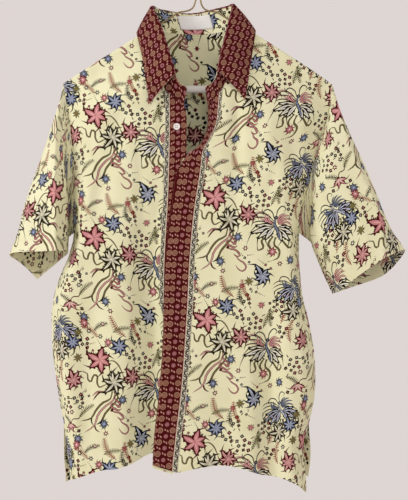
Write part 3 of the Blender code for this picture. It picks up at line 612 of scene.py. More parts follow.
class Sheet:
    """One piece of cloth on a lattice of places.

    outward is the direction that its outer side faces, or gives it for a place. The
    cloth coordinates start at the anchor, and v is the drop where the piece is upright
    or where surface gives its places.
    """

    def __init__(self, name, lattice, outward, anchor, thickness=CLOTH, surface=None,
                 upright=False):
        self.name = name
        self.lattice = lattice
        self.size = lattice.shape[:2]
        self.thickness = thickness
        self.surface = surface
        self.detail = np.zeros((0, 2))
        ends = np.concatenate([2 * lattice[:1] - lattice[1:2], lattice,
                               2 * lattice[-1:] - lattice[-2:-1]], axis=0)
        self.padded = np.concatenate([2 * ends[:, :1] - ends[:, 1:2], ends,
                                      2 * ends[:, -1:] - ends[:, -2:-1]], axis=1)
        self.u = run_length(lattice, 1)
        self.u = self.u - self.u[:, anchor[1]][:, None]
        self.v = -lattice[..., 2]
        if surface is None and not upright:
            self.v = run_length(lattice, 0)
            self.v = self.v - self.v[anchor[0]][None, :]
        self.side = 1.0
        middle = (np.array([self.size[0] / 2]), np.array([self.size[1] / 2]))
        if callable(outward):
            outward = outward(self.at(*middle))
        facing = (self.normals(*middle) * outward).sum()
        self.side = math.copysign(1.0, facing)
        self.cut(*rectangle_route(self.size))

    def at(self, rows, columns):
        """Places in space of lattice rows and columns."""
        if self.surface is not None:
            return self.surface(rows, columns)
        row, down = spline_weights(rows, self.size[0])
        col, across = spline_weights(columns, self.size[1])
        return sum((down[i] * across[j])[:, None] * self.padded[row + i, col + j]
                   for i in range(4) for j in range(4))

    def normals(self, rows, columns):
        last_row, last_column = self.size[0] - 1, self.size[1] - 1
        along = (self.at(np.minimum(rows + NEARBY, last_row), columns)
                 - self.at(np.maximum(rows - NEARBY, 0), columns))
        across = (self.at(rows, np.minimum(columns + NEARBY, last_column))
                  - self.at(rows, np.maximum(columns - NEARBY, 0)))
        return self.side * unit(np.cross(along, across))

    def cloth_place(self, rows, columns):
        """Cloth coordinates of lattice rows and columns."""
        row = np.clip(rows.astype(int), 0, self.size[0] - 2)
        col = np.clip(columns.astype(int), 0, self.size[1] - 2)
        down = (rows - row)[:, None]
        over = (columns - col)[:, None]
        both = np.stack([self.u, self.v], axis=-1)
        return ((1 - down) * ((1 - over) * both[row, col] + over * both[row, col + 1])
                + down * ((1 - over) * both[row + 1, col] + over * both[row + 1, col + 1]))

    def find(self, places):
        """Lattice rows and columns of cloth places, by turns along each."""
        column = np.full(len(places), (self.size[1] - 1) / 2)
        for _ in range(8):
            low = np.clip(column.astype(int), 0, self.size[1] - 2)
            part = column - low
            row = monotone(self.v[:, low] * (1 - part) + self.v[:, low + 1] * part, places[:, 1])
            low = np.clip(row.astype(int), 0, self.size[0] - 2)
            part = (row - low)[:, None]
            column = monotone((self.u[low] * (1 - part) + self.u[low + 1] * part).T, places[:, 0])
        return row, column

    def cut(self, rows, columns):
        """Sets the outline, as lattice places in order round the piece."""
        self.edge = self.cloth_place(rows, columns)
        self.edge_points = self.at(rows, columns)
        self.edge_normals = self.normals(rows, columns)


def rectangle_route(size):
    """Lattice rows and columns in order round a whole lattice."""
    rows, columns = size[0] - 1, size[1] - 1
    down = np.arange(rows)
    over = np.arange(columns)
    row = np.concatenate([0 * over, down, 0 * over + rows, rows - down])
    column = np.concatenate([over, 0 * down + columns, columns - over, 0 * down])
    return row.astype(float), column.astype(float)


def armhole_z(which):
    """Heights down an armhole, 0 on the wearer's right and 1 on the left."""
    top = ridge(SIDE_ROWS[0][1 + which])
    return top + (UNDERARM - top) * RING_PARTS


def joined(stretches):
    """One closed route of x and height from stretches that share their ends."""
    return np.concatenate([stretch[:-1] for stretch in stretches])


def hem_course(hem, steps):
    """Even parts of the way along a hem, and its heights there."""
    part = np.linspace(0, 1, steps + 1)
    return part, through(hem[:, 0], hem[:, 1], hem[0, 0] + (hem[-1, 0] - hem[0, 0]) * part)


def front_outline(name):
    """x and height round a front, from the shoulder point by the neck and hem."""
    which = int(name == "front_left")
    seam_x = lambda z: placket_x(name.replace("front", "placket"), "seam_x", z)
    side_x = lambda z: side_edges(name, z)[which]
    neck = np.array(NECKLINES[name], float)
    neck[0, 1] = ridge(neck[0, 0])
    outer = SIDE_ROWS[0][1 + which]
    shoulder = outer + (neck[0, 0] - outer) * SHOULDER_PARTS
    hem = np.array(HEMS[name], float)
    if which == 0:
        hem = hem[::-1]
    seam_z = np.linspace(neck[-1, 1], hem[0, 1], SEAM_STEPS + 1)
    part, hem_z = hem_course(hem, 32)
    hem_x = seam_x(hem_z) + (side_x(hem_z) - seam_x(hem_z)) * part
    vent_z = np.linspace(hem[-1, 1], VENT_TOP, 20)
    side_z = np.concatenate([vent_z[:-1], SIDE_Z[::-1][:-1], armhole_z(which)[::-1]])
    return joined([
        np.stack([shoulder, ridge(shoulder)], axis=1),
        trace(neck, NECK_FINE),
        np.stack([seam_x(seam_z), seam_z], axis=1),
        np.stack([hem_x, hem_z], axis=1),
        np.stack([side_x(side_z), side_z], axis=1),
    ])


def back_outline():
    """x and height round the back, from the shoulder point on the wearer's right."""
    neck = np.array(BACK_NECK, float)
    neck[0, 1] = ridge(neck[0, 0])
    neck[-1, 1] = ridge(neck[-1, 0])
    hem = np.array(HEMS["back"], float)
    part, hem_z = hem_course(hem, 80)
    right_x, left_x = side_edges("back", hem_z)
    hem_x = right_x + (left_x - right_x) * part
    right = -230 + (neck[0, 0] + 230) * SHOULDER_PARTS
    left = 230 + (neck[-1, 0] - 230) * SHOULDER_PARTS
    sides = []
    for which, foot in ((0, hem[0, 1]), (1, hem[-1, 1])):
        vent_z = np.linspace(VENT_TOP, foot, 21)
        z = np.concatenate([armhole_z(which)[:-1], SIDE_Z[:-1], vent_z])
        sides.append(np.stack([side_edges("back", z)[which], z], axis=1))
    return joined([
        np.stack([right, ridge(right)], axis=1),
        trace(neck, BACK_FINE),
        np.stack([left, ridge(left)], axis=1)[::-1],
        sides[1],
        np.stack([hem_x, hem_z], axis=1)[::-1],
        sides[0][::-1],
    ])


def torso_sheet(name):
    """A front or the back, worked out in even rows between its side edges."""
    low = np.array(HEMS[name], float)[:, 1].min() - 4
    top = RIDGE_APEX - SHOULDER_SLOPE * 60
    rows = int((top - low) / LATTICE)

    def edges(z):
        left, right = side_edges(name, z)
        if name == "front_right":
            right = placket_x("placket_right", "seam_x", z)
        elif name == "front_left":
            left = placket_x("placket_left", "seam_x", z)
        return left, right

    heights = np.linspace(top, low, rows + 1)
    left, right = edges(heights)
    columns = int((right - left).max() / LATTICE)

    def surface(row, column):
        z = top + (low - top) * row / rows
        left, right = edges(z)
        return panel_point(name, left + (right - left) * column / columns, z)

    def place(x, z):
        """Lattice row and column of an x and a height."""
        left, right = edges(z)
        return (z - top) / (low - top) * rows, (x - left) / (right - left) * columns

    row, column = np.meshgrid(np.arange(rows + 1), np.arange(columns + 1), indexing="ij")
    lattice = surface(row.ravel(), column.ravel()).reshape(rows + 1, columns + 1, 3)
    facing = (0, 1 if name == "back" else -1, 0)
    anchor = {"front_right": columns, "front_left": 0, "back": columns // 2}[name]
    sheet = Sheet(name, lattice, facing, (0, anchor), surface=surface)
    outline = back_outline() if name == "back" else front_outline(name)
    sheet.cut(*place(*outline.T))
    reach = np.linspace(60, 240, 46)
    for x in (reach, -reach):
        for step in RIDGE_STEPS:
            row, column = place(x, ridge(x) - step)
            kept = (column > 0) & (column < columns)
            sheet.detail = np.vstack([sheet.detail, sheet.cloth_place(row[kept], column[kept])])
    return sheet


def placket_sheet(name):
    front = name.replace("placket", "front")
    neck = NECKLINES[front][-1][1]
    low_z = HEMS[front][-1 if front == "front_right" else 0][1]
    seam_z = np.linspace(neck, low_z, SEAM_STEPS + 1)
    seam = panel_point(front, placket_x(name, "seam_x", seam_z), seam_z)
    top_x, top_z = PLACKET_TOPS[name]
    foot = PLACKET_FOOT[name]
    free_top = placket_x(name, "free_x", top_z)
    sunk = seam[:, 1] - placket_point(name, 0, seam_z)[:, 1]
    columns = []
    for part in PLACKET_FINE:
        top = neck + (top_z - neck) * part
        low = foot[0] + (foot[1] - foot[0]) * part
        z = top + (seam_z - neck) * (low - top) / (low_z - neck)
        points = placket_point(name, part, z)
        points[:, 1] += sunk * max(0, 1 - PLACKET_STEPS * part)
        near_top = smooth_step(1 - (top - z) / PLACKET_TOP_TURN)
        points[:, 0] += (top_x - free_top) * part ** 2 * near_top
        columns.append(points)
    lattice = np.stack(columns, axis=1)
    if name == "placket_left":
        lattice = lattice[:, ::-1]
    seam_column = 0 if name == "placket_right" else len(PLACKET_FINE) - 1
    return Sheet(name, lattice, (0, -1, 0), (0, seam_column), FACED, upright=True)


def fly_sheet():
    """Strip behind the outer placket, which carries the buttonholes."""
    name = "placket_left"
    foot = PLACKET_FOOT[name][0]
    columns = []
    for part in np.linspace(1, 0, FLY_COLUMNS + 1):
        z = np.linspace(FLY_TOP, foot + FLY_FOOT_RISE * part - FLY_PAST_FOOT, FLY_ROWS + 1)
        seam_x = placket_x(name, "seam_x", z)
        free_x = placket_x(name, "free_x", z)
        lip = FLY_LIP * smooth_step((z - FLY_LIP_FOOT) / FLY_LIP_HEIGHT)
        x = seam_x - FLY_SEAM_SIDE + (free_x - lip - seam_x + FLY_SEAM_SIDE) * part
        across = np.clip((x - seam_x) / (free_x - seam_x), 0, 1)
        points = placket_point(name, across, z, FLY_STEP)
        points[:, 0] = x
        columns.append(points)
    return Sheet("fly_strip", np.stack(columns, axis=1), (0, -1, 0), (0, 0), CLOTH * 2)


def sleeve_sheet(name):
    """Sleeve laid open along its underarm seam, from the front half to the back."""
    front = name.replace("sleeve", "front")
    which = int(name == "sleeve_left")
    z = armhole_z(which)
    x = side_edges(front, z)[which]
    front_edge = panel_point(front, x, z)
    back_edge = panel_point("back", x, z)
    rings = [np.vstack([front_edge[::-1], back_edge[1:]])]
    under = SLEEVE_COLUMNS.index("under")
    for section in SLEEVES[name]:
        points = np.array(section, float)
        front_half = trace(points[:under + 1], RING / HALF_RING)
        back_half = trace(np.vstack([points[under:], points[:1]]), RING / HALF_RING)
        rings.append(np.vstack([front_half[::-1], back_half[::-1][1:]]))
    rings = np.array(rings)
    knots = np.arange(len(rings), dtype=float)
    flat = through(knots, rings.reshape(len(rings), -1),
                   np.linspace(0, knots[-1], SLEEVE_ROWS + 1))
    lattice = flat.reshape(SLEEVE_ROWS + 1, -1, 3)
    middle = lattice.mean(axis=(0, 1))
    down, over = np.meshgrid(*(np.linspace(0, 1, size) for size in lattice.shape[:2]),
                             indexing="ij")
    out = unit(np.cross(np.gradient(lattice, axis=0), np.gradient(lattice, axis=1)))
    if (out * (lattice - middle)).sum() < 0:
        out = -out
    # No crease at the armhole, the hem or the underarm seam.
    keep = smooth_step(down * 6) * smooth_step((1 - down) * 8)
    keep = keep * smooth_step(over * 14) * smooth_step((1 - over) * 14)
    rise = np.zeros_like(down)
    for start, end, width, height, top, foot in SLEEVE_CREASES:
        line = start + (end - start) * down
        reach = smooth_step((down - top) * 5 + 0.2) * smooth_step((foot - down) * 5 + 0.2)
        rise = rise + height * reach * np.exp(-((over - line) / width) ** 2)
    lattice = lattice + out * (rise * keep)[..., None]
    return Sheet(name, lattice, lambda place: place - middle, (SLEEVE_ROWS, len(RING) - 1))


def collar_sheets(pieces):
    """Stand and leaf over the neck seam of the other pieces."""
    def neck_of(name, parts):
        first = len(SHOULDER_PARTS) - 1
        return pieces[name].edge_points[first:first + len(parts)]

    base = np.vstack([
        pieces["placket_right"].lattice[0][::-1],
        neck_of("front_right", NECK_FINE)[::-1][1:],
        neck_of("back", BACK_FINE)[1:],
        neck_of("front_left", NECK_FINE)[1:],
        pieces["placket_left"].lattice[0][::-1][1:],
    ])
    stations = np.concatenate([PLACKET_FINE, 2 - NECK_FINE[::-1][1:], 2 + 2 * BACK_FINE[1:],
                               4 + NECK_FINE[1:], 5 + PLACKET_FINE[1:]])
    data = np.array(ROLL_ROWS, float)
    top = through(data[:, 0], data[:, 1:], stations)
    stand = base + (top - base) * STAND_ROWS[::-1][:, None, None]
    middle = int(np.argmin(abs(stations - 3)))
    sheets = [Sheet("collar_stand", stand, lambda place: (place - NECK_CENTRE) * (1, 1, 0),
                    (len(STAND_ROWS) - 1, middle), FACED)]
    under_leaf = (stations > LEAF_FIRST - 0.01) & (stations < LEAF_LAST + 0.01)
    leaf_stations = stations[under_leaf]
    data = np.array(LEAF_ROWS, float)
    plan = through(data[:, 0], data[:, 1:], leaf_stations)
    x, z = plan[:, 0], plan[:, 1]
    behind = (leaf_stations > 2) & (leaf_stations < 4)
    y = np.where(behind, back_y(x, z) + LEAF_CLEAR, front_y(x, z) - LEAF_CLEAR)
    past_shoulder = np.minimum(abs(leaf_stations - 2), abs(leaf_stations - 4))
    y = y * smooth_step(past_shoulder / 0.08)
    edge = np.stack([x, y, z], axis=1)
    roll = top[under_leaf]
    up = unit(roll - base[under_leaf])
    out = edge - roll
    out = unit(out - (out * up).sum(axis=1)[:, None] * up)
    rows = [roll] + [roll + up * rise + out * reach for rise, reach in LEAF_ROLL]
    start = rows[-1]
    for part in np.linspace(0, 1, LEAF_FALL + 1)[1:]:
        rows.append(start + (edge - start) * part + out * LEAF_BOW * math.sin(math.pi * part))
    middle = int(np.argmin(abs(leaf_stations - 3)))
    sheets.append(Sheet("collar_leaf", np.array(rows),
                        lambda place: (NECK_CENTRE - place) * (1, 1, 0), (0, middle), FACED))
    return sheets


# The print: ordinary flowers, ferns, ribbons and butterflies, each drawn as a few
# flat shapes in millimetres about its own centre, across and down.

PALETTE = {
    "ground": (233, 231, 195),
    "light": (236, 233, 212),
    "maroon": (72, 12, 16),
    "wine": (98, 24, 32),
    "pink": (198, 134, 137),
    "rose": (226, 170, 168),
    "navy": (14, 16, 26),
    "blue": (122, 131, 157),
    "sky": (184, 192, 212),
    "black": (24, 16, 10),
    "olive_dark": (40, 32, 14),
    "olive": (124, 112, 68),
    "moss": (84, 80, 44),
    "rust": (134, 62, 44),
    "tan": (160, 118, 98),
    "tan_dark": (94, 46, 40),
    "lilac": (156, 102, 106),
    "grey": (206, 203, 184),
    "blush": (192, 140, 128),
    "border": (74, 10, 14),
}
SHADES = list(PALETTE)


def spin(points, degrees):
    """Points turned clockwise, as seen on the cloth."""
    angle = math.radians(degrees)
    return points @ np.array([[math.cos(angle), math.sin(angle)],
                              [-math.sin(angle), math.cos(angle)]])


def placed(shapes, x, y, angle=0.0, size=1.0, flip=False):
    mirror = np.array([-1 if flip else 1, 1])
    return [(shade, spin(outline * mirror * size, angle) + (x, y)) for shade, outline in shapes]


def blade(path, half):
    """Outline of a stroke from its half widths at each point of its path."""
    path = np.asarray(path, float)
    half = np.asarray(half, float)
    aside = beside(np.gradient(path, axis=0)) * half[:, None]
    one = path + aside
    other = (path - aside)[::-1]
    if half[-1] == 0:
        other = other[1:]
    if half[0] == 0:
        other = other[:-1]
    return np.vstack([one, other])


def stroke(points, width, count, start):
    """Smooth stroke through points, widest in its middle."""
    path = trace(np.asarray(points, float), count)
    t = np.linspace(0, 1, count + 1)
    half = width / 2 * (0.75 * np.sin(math.pi * t) ** 0.6 + 0.25 * (start - start * t))
    half[0] = width / 2 * start
    half[-1] = 0
    return blade(path, half)


def disc(radius, count, x=0.0, y=0.0, notch=1.0, lean=0.0):
    """Round dot, or with notch below 1 a star with count arms."""
    steps = count if notch == 1.0 else count * 2
    angle = np.arange(steps) * 2 * math.pi / steps + lean
    reach = np.where(np.arange(steps) % 2 == 0, radius, radius * notch)
    return np.stack([x + reach * np.cos(angle), y + reach * np.sin(angle)], axis=1)


def lance(t, width):
    """Half width of a pointed petal at each share of its length."""
    return width / 2 * np.sin(math.pi * np.clip(t, 0, 1) ** 0.9) ** 0.9


def bent(t, length, curl):
    """Middle line of a petal, whose tip curls round past its end."""
    past = np.maximum(t - 1, 0)
    aside = curl * length * t ** 2.2 + math.copysign(1.3, curl) * length * past ** 1.3
    return np.stack([aside, -length * (t - 0.35 * past)], axis=1)


def petal(angle, length, width, curl):
    t = np.array((0.03, 0.18, 0.34, 0.5, 0.66, 0.82, 1.0))
    half = lance(t, width)
    half[-1] = 0
    return spin(blade(bent(t, length, curl), half), angle)


def flame(angle, length, width, curl, rim, teeth):
    """Dark edge behind a petal: hooked teeth on both sides and a long curled tip."""
    sides = []
    for hand in (1, -1):
        t = [0.05, 0.2]
        out = [rim * 0.4, rim * 0.75]
        count = teeth if hand * curl > 0 else max(teeth - 2, 1)
        for part in np.linspace(0.3, 0.88, count):
            t += [part, part + 0.13]
            out += [rim * 0.7, rim * 2.2]
        t = np.array(t + [1.04, 1.2])
        out = np.array(out + [rim * 0.7, rim * 0.4])
        middle = bent(t, length, curl)
        every = np.linspace(0, 1.2, 13)
        along = at_runs(t, every, np.gradient(bent(every, length, curl), axis=0))
        sides.append(middle + beside(along) * (hand * (lance(t, width) + out))[:, None])
    tip = bent(np.array([1.42]), length, curl)
    return spin(np.vstack([sides[0], tip, sides[1][::-1]]), angle)


def crosses_itself(outline):
    ends = np.roll(outline, -1, axis=0)
    count = len(outline)
    return any(geometry.intersect_line_line_2d(outline[i], ends[i], outline[j], ends[j])
               for i in range(count) for j in range(i + 2, count - (i == 0)))


def simple(shapes):
    """The same shapes, but one whose outline crosses itself is cut into triangles."""
    result = []
    for shade, outline in shapes:
        if not crosses_itself(outline):
            result.append((shade, outline))
            continue
        low, high = 0, len(outline) - 1
        while high - low > 1:
            result.append((shade, outline[[low, low + 1, high]]))
            if high - low > 2:
                result.append((shade, outline[[low + 1, high - 1, high]]))
            low += 1
            high -= 1
    return result


# Flowers: angle, length, width and curl of each petal.
GREAT_PETALS = (
    (4, 19, 8.0, 0.14), (56, 16, 7.0, 0.16), (104, 17, 7.2, 0.2), (158, 20, 7.6, 0.14),
    (222, 18, 7.4, 0.2), (286, 22, 8.4, 0.2),
)
MIDDLE_PETALS = (
    (-6, 15, 4.8, 0.22), (38, 13, 4.2, 0.12), (82, 14, 4.6, 0.22), (126, 13, 4.2, 0.14),
    (168, 15, 4.6, 0.22), (214, 13, 4.2, 0.2), (258, 14, 4.6, 0.14), (308, 19, 5.2, 0.18),
)
CREAM_PETALS = (
    (-26, 17, 4.2, 0.2), (14, 16, 4, 0.16), (60, 15, 4.2, 0.24), (108, 16, 4.2, 0.2),
    (152, 18, 4.2, 0.14), (208, 20, 4.6, 0.22), (268, 17, 4.2, 0.26), (312, 15, 4, 0.2),
)
STAR_PETALS = (
    (-10, 14, 4.6, 0.18), (32, 15, 4.6, 0.12), (74, 14, 4.6, 0.2), (116, 13, 4.4, 0.14),
    (156, 14, 4.4, 0.18), (198, 13, 4.4, 0.14), (246, 15, 4.8, 0.18), (300, 17, 5, 0.14),
)
LONG_PETALS = (
    (-32, 24, 5.2, -0.12), (14, 14, 4.2, 0.22), (52, 13, 4.2, 0.18), (98, 12, 4, 0.2),
    (142, 13, 4.2, 0.18), (186, 14, 4.2, 0.2), (232, 13, 4.2, 0.16), (280, 14, 4.4, 0.05),
)
SMALL_PETALS = (
    (0, 7.0, 2.8, 0.16), (46, 6.2, 2.6, 0.14), (92, 7.0, 2.6, 0.16), (136, 6.2, 2.6, 0.14),
    (180, 7.2, 2.8, 0.16), (228, 6.2, 2.6, 0.14), (272, 7.0, 2.6, 0.16), (318, 7.4, 2.8, 0.14),
)


def flower(petals, fill, edge, streak, rim, teeth, share=0.8):
    """Open flower: hooked dark edges behind narrower petals with a streak each."""
    shapes = [(edge, flame(*row, rim, teeth)) for row in petals]
    shapes.append((edge, disc(3.4, 8)))
    shapes += [(fill, petal(angle, length * 0.96, width * share, curl))
               for angle, length, width, curl in petals]
    for angle, length, width, curl in petals:
        t = np.array((0.1, 0.34, 0.72))
        path = bent(t, length, curl)
        shapes.append((streak, spin(blade(path, (width * 0.05, width * 0.12, 0)), angle)))
    return shapes


def small_flower(fill, edge, streak):
    """Small pointed flower with a dark edge."""
    shapes = [(edge, flame(*row, 0.9, 1)) for row in SMALL_PETALS]
    shapes += [(fill, petal(angle, length * 0.9, width * 0.7, curl))
               for angle, length, width, curl in SMALL_PETALS]
    shapes.append((streak, disc(1.2, 5)))
    return shapes


def burst(arms, radius, edge, fill):
    """Star of many thin petals."""
    angles = [360 / arms * index + 7 * (index % 3) for index in range(arms)]
    return ([(edge, petal(angle, radius * (0.8 + 0.2 * ((index * 5) % 3) / 2), 2.5, 0.1))
             for index, angle in enumerate(angles)]
            + [(fill, petal(angle, radius * 0.66, 1.2, 0.1)) for angle in angles])


def open_star(radius, shade):
    return [(shade, disc(radius, 6, notch=0.5)), ("light", disc(radius * 0.32, 6))]


def blossom(shade, heart, size):
    """Tiny square flower of four petals."""
    return [(shade, disc(size, 4, notch=0.74, lean=0.8)), (heart, disc(size * 0.27, 4))]


def fern(shade, length, bend, leaflets, reach):
    """Curved stalk with fine hooked leaflets on both sides."""
    path = trace(((0, 0), (bend * length * 0.16, -length * 0.5), (bend * length, -length)), 12)
    half = np.linspace(0.75, 0.35, 13)
    half[-1] = 0
    shapes = [(shade, blade(path, half))]
    along = np.gradient(path, axis=0)
    for index in range(leaflets):
        place = 1.2 + index * 10.6 / leaflets
        low = int(place)
        base = path[low] + (path[low + 1] - path[low]) * (place - low)
        ahead = along[low] / np.linalg.norm(along[low])
        aside = np.array((-ahead[1], ahead[0]))
        size = reach * (0.4 + 0.6 * math.sin(math.pi * (index + 1.5) / (leaflets + 1.5)))
        for hand in (-1, 1):
            middle = base + ahead * size * 0.2 + aside * hand * size * 0.62
            tip = base + ahead * size * 0.85 + aside * hand * size * 0.95
            root = ahead * 0.95
            shapes.append((shade, np.array((base - root, middle - root * 0.7, tip,
                                            middle + root * 0.6, base + root))))
    return shapes


def outlined(points, width, edge, fill, count, start, inner=0.5):
    """Stroke with a lighter middle."""
    return [(edge, stroke(points, width, count, start)),
            (fill, stroke(points, width * inner, count, start * 0.6))]


def ribbons():
    """Trailing ribbons that fork into hooks."""
    rows = (
        ("olive_dark", "olive", ((0, -2), (-2, 12), (-16, 20), (-27, 34), (-34, 48), (-55, 54)),
         ((-30, 40), (-34, 50), (-32, 58), (-28, 62))),
        ("maroon", "rose", ((5, -2), (4, 14), (-10, 26), (-22, 42), (-26, 60), (-46, 76)),
         ((-24, 52), (-26, 62), (-22, 70), (-14, 74))),
        ("olive_dark", "olive", ((10, -2), (11, 12), (0, 28), (-10, 42), (-12, 54), (-4, 72)),
         ((-12, 46), (-16, 56), (-24, 60))),
        ("maroon", "rose", ((-5, -4), (-14, 0), (-28, 0), (-38, 8)),
         ((-20, -1), (-28, 5), (-35, 16))),
    )
    shapes = []
    for edge, fill, path, fork in rows:
        shapes.append((edge, stroke(fork, 3.6, 6, 0.6)))
        shapes += outlined(path, 5.2, edge, fill, 12, 0.5, 0.42)
    return shapes


def vine(edge, fill):
    points = ((0, 0), (7, 3), (10, 14), (15, 17), (17, 10), (20, 5), (25, 7), (26, 18), (31, 26),
              (40, 22), (48, 19))
    return outlined(points, 4.2, edge, fill, 22, 0.35, 0.4)


def scroll(edge, fill):
    """Folded leaf-like scrolls one below another."""
    shapes = []
    curls = (
        ((2, 0), (5, 6), (12, 10), (12, 18), (6, 13), (0, 10)),
        ((0, 10), (-3, 16), (4, 20), (12, 23), (17, 19)),
        ((-2, 22), (5, 26), (13, 27), (18, 31), (22, 38), (15, 38), (10, 33)),
        ((14, 36), (20, 44), (30, 50), (34, 58), (28, 64), (20, 60), (15, 52)),
    )
    for index, points in enumerate(curls):
        shapes += outlined(points, 5.4 - 0.5 * index, edge, fill, 12, 0.4, 0.4)
    shapes.append((edge, disc(2.8, 7, 0, 23)))
    return shapes


def wing(rows, x, y, edge, fill, streak):
    """Feathers with hooked dark edges that overlap one another about a wing's root."""
    shapes = []
    for angle, length, width, curl in rows:
        shapes.append((edge, flame(angle, length, width, curl, 1.5, 4)))
        shapes.append((fill, petal(angle, length * 0.96, width * 0.78, curl)))
        path = bent(np.array((0.2, 0.5, 0.8)), length, curl)
        shapes.append((streak, spin(blade(path, (0.2, width * 0.14, 0)), angle)))
    return placed(shapes, x, y)


LEFT_WING = ((284, 32, 7.4, -0.16), (264, 40, 8.4, -0.14), (244, 33, 8.0, -0.14),
             (222, 25, 7.0, -0.12))
RIGHT_WING = ((76, 23, 6.6, 0.16), (100, 30, 8.0, 0.14), (125, 30, 7.8, 0.12),
              (149, 23, 6.4, 0.1))


def fan(root, first, last, count, length, edge, fill):
    """Fan of curved outlined plumes between two angles."""
    shapes = []
    for index in range(count):
        angle = math.radians(first + (last - first) * index / (count - 1))
        reach = length * (0.78 + 0.22 * math.sin(math.pi * (index + 0.5) / count))
        ahead = np.array((math.cos(angle), math.sin(angle)))
        aside = np.array((-ahead[1], ahead[0]))
        points = np.array([root + ahead * reach * t + aside * reach * 0.22 * bow
                           for t, bow in ((0.1, 0), (0.4, -0.5), (0.75, -0.2), (1.0, 0.9))])
        shapes += outlined(points, 4.6, edge, fill, 8, 0.4, 0.45)
    return shapes


def butterfly(edge, plume_edge, plume, body, spots):
    """Winged creature of plumes, with curled feelers and trailing tails."""
    shapes = []
    for points in (((-3, -12), (-8, -24), (-18, -28), (-24, -20), (-18, -17)),
                   ((1, -14), (2, -26), (10, -34), (16, -28), (11, -23)),
                   ((-4, -8), (-14, -18), (-28, -22), (-40, -18)),
                   ((-4, -5), (-14, -12), (-28, -15), (-42, -12)),
                   ((-5, -2), (-16, -6), (-28, -8), (-40, -4), (-42, 4))):
        shapes.append((edge, stroke(points, 2.5, 11, 0.6)))
    for points in (((-8, 16), (-22, 26), (-18, 38), (-28, 42), (-28, 34)),
                   ((2, 20), (0, 32), (10, 42), (8, 56), (-2, 60)),
                   ((10, 20), (18, 30), (28, 38), (32, 30), (26, 27)),
                   ((-3, 18), (-10, 32), (-5, 42), (-12, 52))):
        shapes += outlined(points, 4.2, edge, "olive", 11, 0.9, 0.4)
    shapes += fan(np.array((2.0, -3.0)), -62, 14, 5, 27, plume_edge, plume)
    shapes += fan(np.array((-3.0, -2.0)), 205, 232, 3, 24, plume_edge, plume)
    shapes += wing(LEFT_WING, -1, 3, edge, *spots)
    shapes += wing(RIGHT_WING, 3, 5, edge, *spots)
    shapes += outlined(((0, -14), (-2, -4), (4, 8), (10, 26)), 7.0, edge, body, 10, 0.5, 0.55)
    for index, x in enumerate((-1.6, -0.4, 2, 5, 7.6)):
        y = -6 + index * 6
        shapes.append((edge, np.array(((x - 3, y), (x, y + 1.4), (x + 3, y), (x, y + 2.6)))))
    shapes.append((edge, disc(3.4, 7, 0, -14)))
    shapes.append((body, disc(1.5, 5, 0, -14)))
    return shapes


def bell(edge, fill, streak):
    """Flower with swept petals on a long stalk."""
    rows = ((128, 14, 4.6, -0.22), (158, 15, 4.6, -0.16), (190, 15, 4.6, 0.16),
            (222, 14, 4.6, 0.22))
    shapes = [(edge, stroke(((0, 0), (6, -8), (14, -8), (20, -18), (28, -20)), 2.0, 10, 0.8))]
    return shapes + flower(rows, fill, edge, streak, 1.0, 3)


def sprig(shade, heart):
    """Two tiny flowers with curved rows of dots."""
    shapes = blossom(shade, heart, 3.0) + placed(blossom(shade, heart, 2.8), 9, 6, 20)
    for index in range(4):
        size = 1.25 - 0.15 * index
        shapes.append((shade, disc(size, 4, -4.5 - 2.8 * index, -3 - 2 * index)))
        shapes.append((shade, disc(size, 4, 4 + 2.8 * index, -5 - 0.8 * index)))
    return shapes


def cluster(spread, count):
    """Loose group of tiny square flowers with a few leaves."""
    kinds = (("black", "blush"), ("black", "light"), ("maroon", "rose"))
    shapes = []
    for index in range(count):
        angle = index * 2.4
        reach = spread * math.sqrt((index + 0.5) / count)
        shade, heart = kinds[index % 3]
        shapes += placed(blossom(shade, heart, 3.5 + 0.3 * (index % 3)),
                         reach * math.cos(angle), reach * math.sin(angle), 17 * index)
    for index in range(3):
        angle = 1.1 + index * 2.1
        tip = np.array((math.cos(angle), math.sin(angle))) * (spread + 8)
        shapes.append(("olive_dark", stroke((tip * 0.7, tip * 0.86, tip), 2.0, 4, 0.6)))
    return shapes


